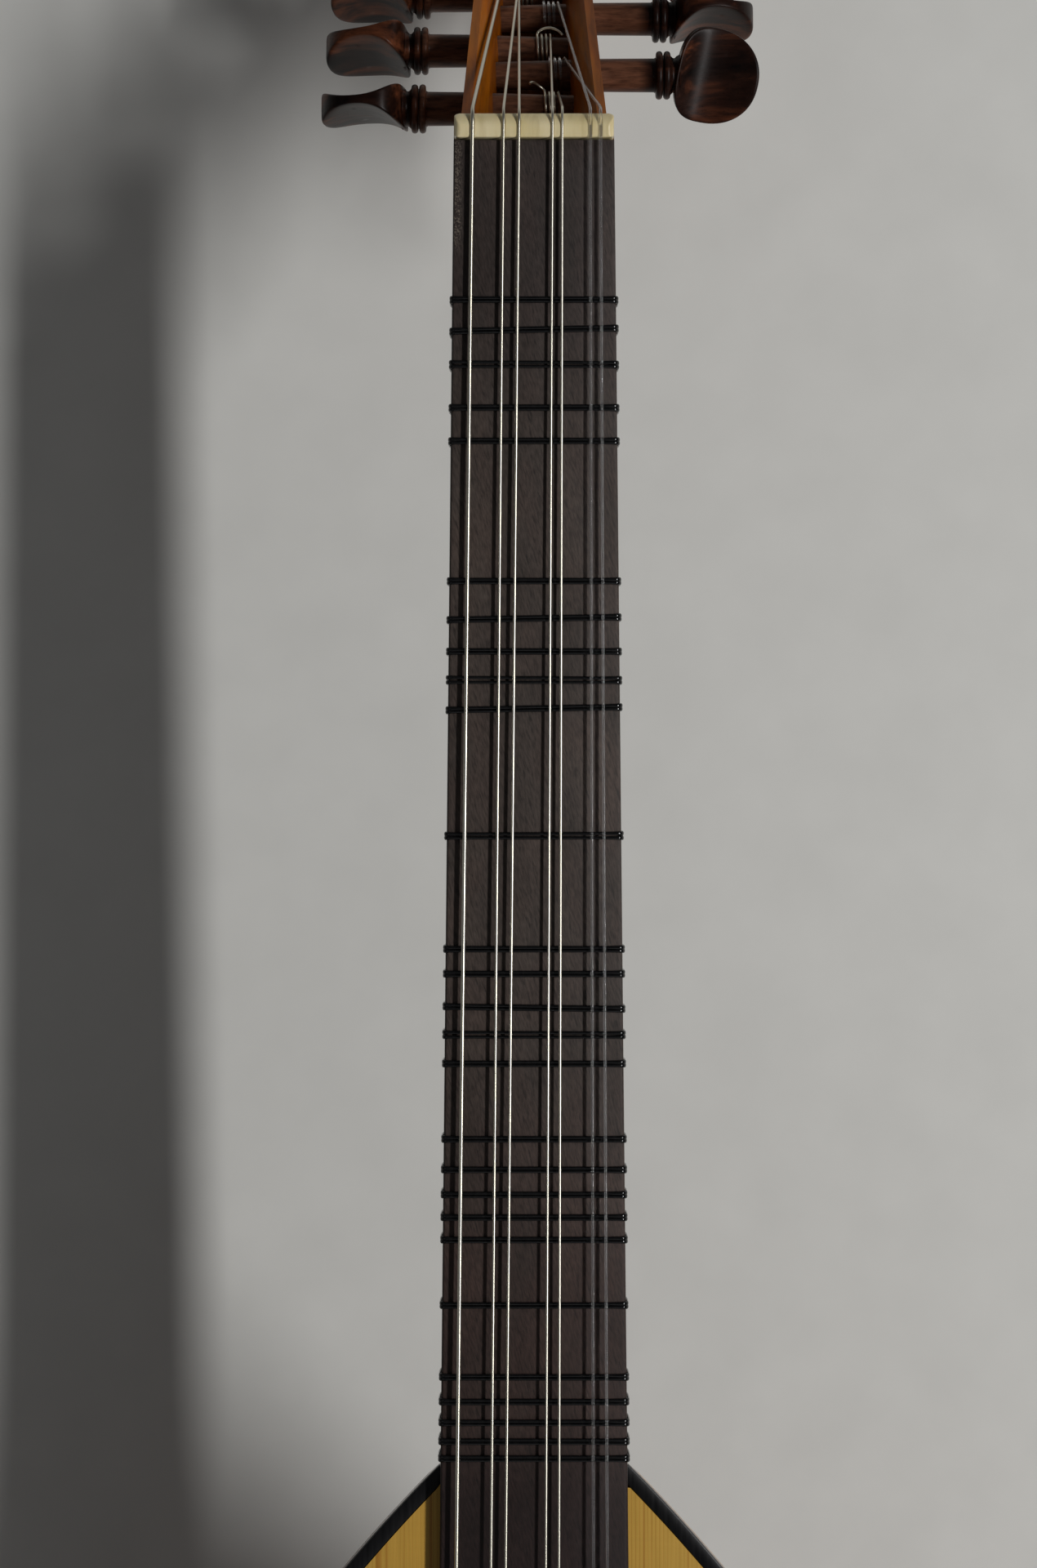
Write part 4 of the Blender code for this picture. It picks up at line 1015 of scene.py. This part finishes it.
def pegbox_depth(along):
    return PEGBOX_DEPTH - PEGBOX_SHALLOWING * along


def cheek_grid(side):
    """Sections along the pegbox. The inner face is a smooth curve from the thin top edge to the thick foot."""
    along = np.linspace(0, PEGBOX_LENGTH, 40)[:, None]
    outer = pegbox_half_width(along)
    floor = -pegbox_depth(along) + PEGBOX_BACK_THICKNESS + FIT
    t = np.linspace(0, 1, 14)[::-1]
    slope_x = outer - CHEEK_TOP - (CHEEK_FOOT - CHEEK_TOP) * np.sin(0.5 * math.pi * t) ** 0.9
    x = np.concatenate([outer, outer, outer - CHEEK_FOOT, slope_x], axis=1)
    up = np.concatenate([0 * along, floor, floor, -CHEEK_SLOPE_DEPTH * t + 0 * along], axis=1)
    return pegbox_point(side * x, along, up)


def peg_side(name):
    return -1 if "bass" in name else 1


def peg_reach(name):
    """From the middle of the pegbox to the outer face of a cheek, at a peg."""
    return pegbox_half_width(to_pegbox(PEG_JOINTS[name])[0])


def peg_radius(name, toward_head):
    """The shaft's taper, by distance from the middle of the pegbox toward the head."""
    reach = peg_reach(name)
    share = (toward_head + reach) / (2 * reach)
    return PEG_RADIUS_AT_TIP + (PEG_RADIUS_AT_COLLAR - PEG_RADIUS_AT_TIP) * share


def cut_peg_holes(cheek):
    """Bores the seven tapered holes and keeps the result as the cheek's mesh."""
    cutters = []
    for name, place in PEG_JOINTS.items():
        toward_head = 1.5 * peg_reach(name) * np.array([[-1.0], [1.0]])
        rings = turned_rings(peg_side(name) * toward_head, peg_radius(name, toward_head) + HOLE_CLEARANCE, 40)
        cutters.append(solid("hole_" + name, rings + place))
        face_outwards(cutters[-1])
        hole = cheek.modifiers.new(name, "BOOLEAN")
        hole.operation = "DIFFERENCE"
        hole.solver = "EXACT"
        hole.object = cutters[-1]
    evaluated = cheek.evaluated_get(bpy.context.evaluated_depsgraph_get())
    bored = bpy.data.meshes.new_from_object(evaluated)
    cheek.modifiers.clear()
    cheek.data = bored
    for cutter in cutters:
        bpy.data.objects.remove(cutter, do_unlink=True)


def soften(piece, width, segments=3):
    """Rounds a piece's hard edges."""
    bevel = piece.modifiers.new("soft_edges", "BEVEL")
    bevel.width = width
    bevel.segments = segments
    bevel.limit_method = "ANGLE"
    bevel.angle_limit = math.radians(35)
    bevel.harden_normals = False


for side, label in ((-1, "bass"), (1, "treble")):
    cheek = solid(f"cheek_{label}", cheek_grid(side))
    face_outwards(cheek)
    cut_peg_holes(cheek)
    finish_piece(cheek, amber_wood, nodes=[f"pegbox_cheek_{label}"], sharp=40)
    soften(cheek, 0.6 * MM, segments=4)
    print(cheek.name, len(cheek.data.polygons), "faces")

# %% Pegbox back and end
END_HALF_WIDTH = 8.5 * MM
END_DEPTH = 14 * MM


def back_grid():
    """Rectangles along the pegbox's back board."""
    along = np.linspace(0, PEGBOX_LENGTH, 12)[:, None]
    low = -pegbox_depth(along)
    up = np.concatenate([low, low, low + PEGBOX_BACK_THICKNESS, low + PEGBOX_BACK_THICKNESS], axis=1)
    return pegbox_point(pegbox_half_width(along) * np.array([-1, 1, 1, -1]), along, up)


def finial_grid():
    """Rounded rectangles that shrink along a curve to the end which the lavta rests on."""
    start = PEGBOX_LENGTH + FIT
    end = (ORIGIN[2] - END_DEPTH * math.cos(PEGBOX_ANGLE)) / math.sin(PEGBOX_ANGLE)
    t = np.linspace(0, 1, 24)[:, None]
    ease = smooth(t)
    half = pegbox_half_width(start) + (END_HALF_WIDTH - pegbox_half_width(start)) * ease
    top = -2.0 * MM * ease - 1.6 * MM * np.sin(math.pi * t)
    bottom = -pegbox_depth(start) + (pegbox_depth(start) - END_DEPTH) * ease + 1.2 * MM * np.sin(math.pi * t)
    across, upright = power_curve(circle(48), 0.32, 0.32)
    return pegbox_point(half * across, start + (end - start) * t, (top + bottom) / 2 + (top - bottom) / 2 * upright)


back = finish_piece(solid("back_board", back_grid()), amber_wood, nodes=["pegbox_back"], sharp=30)
soften(back, 0.5 * MM)
finial = finish_piece(solid("end_block", finial_grid()), amber_wood, nodes=["pegbox_finial"], sharp=40)
soften(finial, 0.6 * MM)
print("back board and end block:", len(back.data.polygons), "and", len(finial.data.polygons), "faces")

# %% [markdown]
# ## Pegs
#
# A peg is turned and then carved. The turned part is a profile spun round the axis: a tapered shaft, two rounded
# rings, and a waist that runs into the head. The head is a broad rounded D that is hollowed on both faces. It is
# drawn as rings that shrink toward the middle of each face, and its half thickness depends only on the distance
# from the collar: thick there, thin in the middle and thick again at the outer end.

# %% Peg profile
RING_RADIUS = 6.15 * MM
RING_WIDTH = 1.75 * MM
RING_SPACING = 0.25 * MM
GROOVE_RADIUS = 5.1 * MM
WAIST_RADIUS = 4.4 * MM
WAIST_LENGTH = 1.5 * MM
HEAD_LENGTH = 21.3 * MM
HEAD_HALF_WIDTH = 12.1 * MM


def head_start(name):
    """From the middle of the pegbox to the collar side of the head. Its outer end is the end of the solid."""
    low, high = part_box(name)
    return max(-low[0], high[0]) - HEAD_LENGTH


def turned_profile(name):
    """Distance toward the head and radius, from the tip to the inside of the head."""
    reach, head = peg_reach(name), head_start(name)
    second = head - WAIST_LENGTH - RING_WIDTH
    first = second - RING_SPACING - RING_WIDTH
    places = [(-reach - 0.3 * MM, 0.8 * PEG_RADIUS_AT_TIP)]
    places += [(x, peg_radius(name, x)) for x in np.linspace(-reach, reach, 12)]
    places += [(first - 0.5 * MM, PEG_RADIUS_AT_COLLAR + 0.1 * MM)]
    places += [(first - 0.1 * MM, PEG_RADIUS_AT_COLLAR + 0.3 * MM)]
    bulge = np.linspace(0, math.pi, 13)
    for start in (first, second):
        ring = RING_WIDTH * (0.5 - 0.5 * np.cos(bulge))
        places += list(zip(start + ring, GROOVE_RADIUS + (RING_RADIUS - GROOVE_RADIUS) * np.sin(bulge) ** 0.7))
    places += [(head - 0.80 * WAIST_LENGTH, 4.75 * MM), (head - 0.55 * WAIST_LENGTH, WAIST_RADIUS)]
    places += [(head - 0.25 * WAIST_LENGTH, WAIST_RADIUS), (head + 0.1 * MM, 4.9 * MM), (head + 0.8 * MM, 5.3 * MM)]
    return np.array(places + [(head + 3.0 * MM, 2.0 * MM)])


print("rings:", round(2000 * RING_RADIUS, 1), "mm across")

# %% Peg head
HEAD_LEAN = math.radians(-11)
HEAD_WIDEST = 8.5 * MM
HOLLOW_AT = 10.5 * MM
WEB = 1.2 * MM
SHOULDER = 6.0 * MM
OUTER_END = 5.0 * MM
COLLAR_RIM_POWER, END_RIM_POWER = 1 / 6, 1 / 3.4


def head_outline(count=80):
    """Distance from the widest place and width round the head, squarer on the collar side."""
    angle = circle(count)
    collar_side = np.cos(angle) < 0
    power = np.where(collar_side, 2 / 2.9, 2 / 2.2)
    along, across = power_curve(angle, power, power)
    return along * np.where(collar_side, HEAD_WIDEST, HEAD_LENGTH - HEAD_WIDEST), across * HEAD_HALF_WIDTH


def head_half_thickness(from_collar):
    """Half the head's thickness. Both sides of the hollow rise from the web as a power of the distance."""
    before = np.clip((HOLLOW_AT - from_collar) / HOLLOW_AT, 0, 1)
    after = np.clip((from_collar - HOLLOW_AT) / (HEAD_LENGTH - HOLLOW_AT), 0, 1)
    return WEB + (SHOULDER - WEB) * before**2.4 + (OUTER_END - WEB) * after**2.2


def head_grid():
    """Rings from the middle of one face, over the rim, to the middle of the other. The rim is a power curve of
    height over size, square at the collar and rounder toward the outer end."""
    along, across = head_outline()
    outer = np.clip(along / (HEAD_LENGTH - HEAD_WIDEST), 0, 1)
    power = COLLAR_RIM_POWER + (END_RIM_POWER - COLLAR_RIM_POWER) * outer
    corner = np.linspace(math.radians(86), 0, 17)[:, None]
    flat = np.ones((8, 1)) + 0 * power
    size = np.concatenate([np.linspace(0.004, 0.55, 8)[:, None] * flat, np.cos(corner) ** power])
    height = np.concatenate([flat, np.sin(corner) ** power])
    size = np.concatenate([size, size[-2::-1]])
    height = np.concatenate([height, -height[-2::-1]])
    leaning_along, leaning_across = rotated(along, across, HEAD_LEAN)
    thick = head_half_thickness(HEAD_WIDEST + size * along) * height
    return side_by_side(HEAD_WIDEST + size * leaning_along, size * leaning_across, thick)


print("head:", head_grid().shape[0], "rings")

# %% Pegs
PEG_TURNS = dict(zip(sorted(PEG_JOINTS), (88, 75, 72, 55, 16, 80, 35)))  # degrees, four bass and three treble


def make_peg(name):
    """The turned part and the head in one mesh, placed on the peg's axis and turned as it was left."""
    profile = turned_profile(name)
    grids = []
    for grid in (turned_rings(profile[:, :1], profile[:, 1:], 36), head_grid() + [head_start(name), 0, 0]):
        y, z = rotated(grid[..., 1], grid[..., 2], math.radians(PEG_TURNS[name]))
        grids.append(side_by_side(grid[..., 0] * peg_side(name), y, z) + PEG_JOINTS[name])
    return finish_piece(solid(name + "_carved", *grids), peg_wood, body=name, nodes=[name], sharp=50)


pegs = [make_peg(name) for name in PEG_JOINTS]
print("pegs:", len(pegs), "of", len(pegs[0].data.polygons), "faces")

# %% [markdown]
# ## Tied frets
#
# Each fret is a length of black nylon wound twice round the neck and knotted at the edge. The path is the
# neck's own section moved outwards: across the fingerboard, round its corners and round the back of the
# neck. Two such loops lie side by side, some a little apart or askew as they were pushed along the neck.

# %% Frets
STRAND_RADIUS = 0.40 * MM
STRAND_SIDES = 10
FRET_CLEARANCE = 0.11 * MM
PRESSED_RADIUS = 0.26 * MM
PRESSED_FROM_EDGE = 1.6 * MM
PRESSED_WITHIN = 1.8 * MM
FRET_TILTS = {2: 1.1, 7: 0.9, 10: 1.0, 14: -0.8}
APART = {3: 0.2 * MM, 9: 0.3 * MM, 11: 0.2 * MM, 15: 0.25 * MM}
TOWARD_BODY = {3: 0.5 * MM, 4: 0.7 * MM, 5: 0.4 * MM, 10: 0.4 * MM, 14: 0.4 * MM, 15: 0.3 * MM}
KNOT_PLACE = math.radians(218)
KNOT_HEIGHT = 0.75 * MM
KNOT_HALF_WIDTH = 1.25 * MM


def neck_loop(y, outset):
    """The section of neck and fingerboard at y, moved outwards, as a closed loop of (x, z)."""
    half, depth = neck_half_width(y) + outset, neck_depth(y) + outset
    top = FINGERBOARD_TOP + outset
    corner = 0.75 * MM + outset
    bend = np.linspace(0, math.pi / 2, 15)
    right = np.stack([half - corner + corner * np.cos(bend), top - corner + corner * np.sin(bend)], axis=1)
    left = right[::-1] * [-1, 1]
    across = np.linspace(right[-1], left[0], 16)[1:-1]
    angle = np.linspace(math.pi, 2 * math.pi, 49)
    back = np.stack([half * np.cos(angle), depth * np.sin(angle)], axis=1)
    return np.concatenate([right, across, left, back])


def strand(y, shift, lean):
    """One loop of nylon and its radius at each point, shifted along the neck and leaning with the fret. It is
    pressed thin where it is pulled round the board's edges, by a smooth step of the distance from the middle.
    make_fret spreads it there, as pressed nylon does, and the flat bend catches the light."""
    x, z = neck_loop(y, FRET_CLEARANCE + STRAND_RADIUS).T
    from_edge = np.abs(x) - neck_half_width(y) + PRESSED_FROM_EDGE
    radius = STRAND_RADIUS - (STRAND_RADIUS - PRESSED_RADIUS) * smooth(np.clip(from_edge / PRESSED_WITHIN, 0, 1))
    return side_by_side(x - np.sign(x) * (STRAND_RADIUS - radius), y + shift + x * math.tan(lean), z), radius


def knot(y):
    """A short hitch round both strands on the back of the neck, toward the bass side: a small upright ring."""
    out_x, out_z = math.cos(KNOT_PLACE), math.sin(KNOT_PLACE)
    away = FRET_CLEARANCE + 2 * STRAND_RADIUS + KNOT_HEIGHT * (1 + np.cos(circle(18))) / 2
    wide = KNOT_HALF_WIDTH * np.sin(circle(18))
    x, z = (neck_half_width(y) + away) * out_x, (neck_depth(y) + away) * out_z + 0.3 * wide
    return side_by_side(x, y + wide, z), STRAND_RADIUS


def make_fret(number):
    node = f"fret_{number:02d}"
    low, high = local_box(node)
    y = (low[1] + high[1]) / 2 - TOWARD_BODY.get(number, 0.0)
    lean = math.radians(FRET_TILTS.get(number, 0.0))
    apart = STRAND_RADIUS + APART.get(number, 0.0) / 2
    second_lean = lean + math.radians(0.25 if number % 3 else -0.2) * (number in APART)
    grids = []
    for path, radius in (strand(y, -apart, lean), strand(y, apart, second_lean), knot(y)):
        rings = tube_rings(path, radius, STRAND_SIDES, Y_AXIS if len(path) > 20 else X_AXIS, looped=True)
        spread = np.reshape(STRAND_RADIUS / radius, (-1, 1)) ** 1.75
        rings[..., 1] = path[:, None, 1] + spread * (rings[..., 1] - path[:, None, 1])
        grids.append(rings)
    return finish_piece(solid(node + "_tie", *grids, looped=True), black_nylon, body=node, nodes=[node], sharp=80)


frets = [make_fret(number) for number in range(1, 28)]
print("frets:", len(frets), "of", len(frets[0].data.polygons), "faces")

# %% [markdown]
# ## Bridge
#
# The bridge is a low block that is glued to the soundboard, with thin tips that curl out from its ends. Its
# depth and height are functions of the distance from the middle: full over the block, then falling along a
# curve. The string holes are too small to bore here. The strings run straight into the dark wood.

# %% Bridge
BRIDGE_HALF_LENGTH = (bridge_high[0] - bridge_low[0]) / 2
BRIDGE_BLOCK_HALF = 31 * MM
BRIDGE_DEPTH = 12.5 * MM
BRIDGE_HEIGHT = 12.0 * MM
TIP_HEIGHT = 2.2 * MM


def bridge_grid():
    """Sections across the bridge: a rounded rectangle whose width and height shrink beyond the block."""
    treble_tip = np.linspace(BRIDGE_BLOCK_HALF, BRIDGE_HALF_LENGTH, 30)
    block = np.linspace(-BRIDGE_BLOCK_HALF, BRIDGE_BLOCK_HALF, 30)[1:-1]
    x = np.concatenate([-treble_tip[::-1], block, treble_tip])[:, None]
    beyond = np.clip((np.abs(x) - BRIDGE_BLOCK_HALF) / (BRIDGE_HALF_LENGTH - BRIDGE_BLOCK_HALF), 0, 1)
    height = TIP_HEIGHT + (BRIDGE_HEIGHT - TIP_HEIGHT) * np.exp(-((beyond / 0.17) ** 1.5))
    depth = BRIDGE_DEPTH * (1 - 0.52 * beyond**1.3) * np.sqrt(np.clip((1.02 - beyond) / 0.12, 0.05, 1.0))
    square_y, square_z = power_curve(circle(40), 0.22, 0.30)
    middle = -SCALE_LENGTH - BRIDGE_DEPTH / 2
    return side_by_side(x, middle + depth / 2 * square_y, FIT + height / 2 * (1 + square_z))


finish_piece(solid("bridge_block", bridge_grid()), bridge_wood, nodes=["bridge"], sharp=45)
print("bridge:", round(2000 * BRIDGE_HALF_LENGTH), "mm long")

# %% [markdown]
# ## Strings
#
# A string is one unbroken path: tied at the bridge, straight over the fingerboard, bent over the nut,
# straight again to its peg and wound round it. The route is worked out as the maker would string it. The turns
# on the peg are a helix round the peg's axis, reached along the tangent from the nut. Two wires were cut long,
# and their ends spring up in a curl.

# %% String routes
BRIDGE_TOP_Z = FIT + BRIDGE_HEIGHT
STRING_PEGS = ["peg_treble_3", "peg_bass_4", "peg_bass_3", "peg_bass_2", "peg_bass_1", "peg_treble_2", "peg_treble_1"]
WINDING_X = np.array([-6.3, -2.0, -3.7, 4.5, 6.3, 6.6, 8.0]) * MM
WINDING_TURNS = 3
WINDING_SPACE = 0.5 * MM
PEG_CLEARANCE = 0.15 * MM
WOUND_STRINGS = 5
STRING_SIDES = 14
LOOSE_ENDS = {
    3: [(0.3, 0.8, 0.4), (1.8, 0.9, 1.3), (3.8, 0.2, 1.8), (5.6, -1.0, 1.5), (6.6, -2.0, 0.9)],
    4: [(-0.3, 0.8, 0.3), (-1.3, 1.0, 1.1), (-2.4, 0.6, 2.2), (-3.2, -0.2, 2.9), (-3.8, -1.0, 3.0)],
}


def bridge_route(number):
    """Up the front of the bridge, over it, down its back and out through its hole, as bends round three places."""
    radius = STRING_DIAMETERS[number] / 2
    clear = radius + FIT
    front, back = -SCALE_LENGTH, -SCALE_LENGTH - BRIDGE_DEPTH
    places = [(front + clear, STRING_Z_AT_BRIDGE + 2 * radius + WINDING_SPACE)]
    for (y, z), start in (
        ((front, BRIDGE_TOP_Z), 0),
        ((back, BRIDGE_TOP_Z), 90),
        ((back, STRING_Z_AT_BRIDGE + clear), 180),
    ):
        angle = np.radians(np.linspace(start, start + 90, 11))
        places += list(zip(y + clear * np.cos(angle), z + clear * np.sin(angle)))
    places.append((front, STRING_Z_AT_BRIDGE))
    return side_by_side(STRING_X_AT_BRIDGE[number], *np.array(places).T)


def nut_route(number):
    """The bend over the nut, on the straight line from the bridge as seen from above. It leaves the slot over
    the back half of the nut."""
    y = np.array([-1.5, 0.64, 0.92, 1.25]) * NUT_LENGTH
    rise = (STRING_Z_AT_BRIDGE - STRING_Z_AT_NUT) / SCALE_LENGTH
    z = STRING_Z_AT_NUT - np.array([rise * y[0], 0.0, 0.09 * NUT_LENGTH, 0.42 * NUT_LENGTH])
    slope = (STRING_X_AT_NUT[number] - STRING_X_AT_BRIDGE[number]) / SCALE_LENGTH
    return side_by_side(STRING_X_AT_NUT[number] + slope * y, y, z)


def peg_route(number, arriving):
    """The tangent from the nut and the turns on the peg, as a helix in the pegbox's own terms."""
    name, start_x = STRING_PEGS[number], WINDING_X[number]
    radius = STRING_DIAMETERS[number] / 2
    side = peg_side(name)
    along = to_pegbox(PEG_JOINTS[name])[0]
    centre = np.array([along, -pegbox_depth(along) / 2])
    inward = -1 if STRING_X_AT_NUT[number] > 0 else 1
    pitch = inward * (2 * radius + WINDING_SPACE)
    far_x = start_x + pitch * WINDING_TURNS
    distance = max(peg_radius(name, side * start_x), peg_radius(name, side * far_x)) + PEG_CLEARANCE + radius
    toward = centre - to_pegbox(arriving)
    heading = math.atan2(toward[1], toward[0]) + math.asin(distance / np.linalg.norm(toward))
    turn = np.linspace(0, WINDING_TURNS, WINDING_TURNS * 40 + 1)
    angle = heading + math.pi / 2 - 2 * math.pi * turn
    wound = side_by_side(
        start_x + pitch * turn, centre[0] + distance * np.cos(angle), centre[1] + distance * np.sin(angle)
    )
    last = heading - 2 * math.pi * WINDING_TURNS
    tail = wound[-1] + 2 * radius * np.array([0.0, math.cos(last), math.sin(last)])
    return pegbox_point(*np.vstack([wound, tail]).T)


def loose_end(number, last):
    """The end of the wire: cut off at the last turn, or left long in a curl."""
    if number not in LOOSE_ENDS:
        return last[None]
    curl = last + pegbox_point(*np.array(LOOSE_ENDS[number]).T * MM) - pegbox_point(0, 0, 0)
    return rounded(np.vstack([last, curl]), 0.3 * MM)


def string_path(number):
    over_nut = nut_route(number)
    wound = peg_route(number, over_nut[-1])
    approach = over_nut[-1] + (wound[0] - over_nut[-1]) * np.linspace(0, 1, 6)[1:-1, None]
    bend = rounded(np.concatenate([over_nut, approach]), 0.6 * MM)
    return np.concatenate([bridge_route(number), bend, wound[:-1], loose_end(number, wound[-1])])


def make_string(number):
    path = string_path(number)
    rings = tube_rings(path, STRING_DIAMETERS[number] / 2, STRING_SIDES, X_AXIS)
    lengths = path_lengths(path, np.arange(STRING_SIDES) / STRING_SIDES)
    string = solid(f"string_{number + 1}_drawn", rings, lengths=lengths)
    surface = wound_silver if number < WOUND_STRINGS else clear_nylon
    return finish_piece(string, surface, nodes=[f"string_{number + 1}"], sharp=80)


strings = [make_string(number) for number in range(7)]
print("strings:", [len(s.data.polygons) for s in strings])

# %% [markdown]
# Inside the body the bars and blocks can't be seen, but they keep their solids and get bare wood all the same.

# %% The pieces inside
for node in ("brace_1", "brace_2", "brace_3", "brace_4", "neck_block", "tail_block"):
    kept_solid = frame["nodes"][node]
    kept_solid.data.materials.clear()
    kept_solid.data.materials.append(inner_wood.material)
print("inside: 6 pieces")

# %% [markdown]
# ## Floor and light
#
# The lavta lies on a plain pale floor. One long, narrow lamp stands on the treble side, so that the strings'
# shadows fall toward the bass side as in the photograph. Two wide, weak ones keep the bass side and the tail
# readable.

# %% Stage
FLOOR_REACH = 40.0


def add_floor():
    finish = Finish("floor", 0.9)
    mottle = finish.noise((40, 40, 40), 3.0)
    finish.apply(finish.ramp(mottle, (0.3, srgb(224, 223, 218)), (0.7, srgb(229, 228, 223))))
    corners = np.array([[-1, -1, 0], [1, -1, 0], [1, 1, 0], [-1, 1, 0]]) * FLOOR_REACH - ORIGIN
    floor = make_mesh("floor", corners, [[0, 1, 2, 3]])
    floor.data.materials.append(finish.material)


def add_lamp(name, place, aim, length, width, power):
    data = bpy.data.lights.new(name, "AREA")
    data.shape = "ELLIPSE"
    data.size = length
    data.size_y = width
    data.energy = power
    lamp = add_object(name, data)
    lamp.location = place
    way = np.array(aim) - np.array(place)
    tilt = math.acos(-way[2] / np.linalg.norm(way))
    lamp.rotation_euler = (tilt, 0.0, math.atan2(way[1], way[0]) - math.pi / 2)


add_floor()
add_lamp("key", (1.14, 0.12, 1.48), (0.0, 0.12, 0.1), 1.2, 0.14, 20.6)
add_lamp("fill", (-1.4, -0.6, 1.7), (0.0, 0.15, 0.1), 1.6, 1.6, 0.9)
add_lamp("tail_fill", (0.3, -1.8, 1.2), (0.0, 0.15, 0.1), 1.4, 1.4, 2.0)
world = bpy.data.worlds.new("world")
bpy.context.scene.world = world
world.use_nodes = True
world.node_tree.nodes["Background"].inputs["Color"].default_value = (0.9, 0.92, 0.95, 1.0)
world.node_tree.nodes["Background"].inputs["Strength"].default_value = 0.07
bpy.context.scene.view_settings.view_transform = "Standard"

# %% Update the scene
bpy.context.view_layer.update()
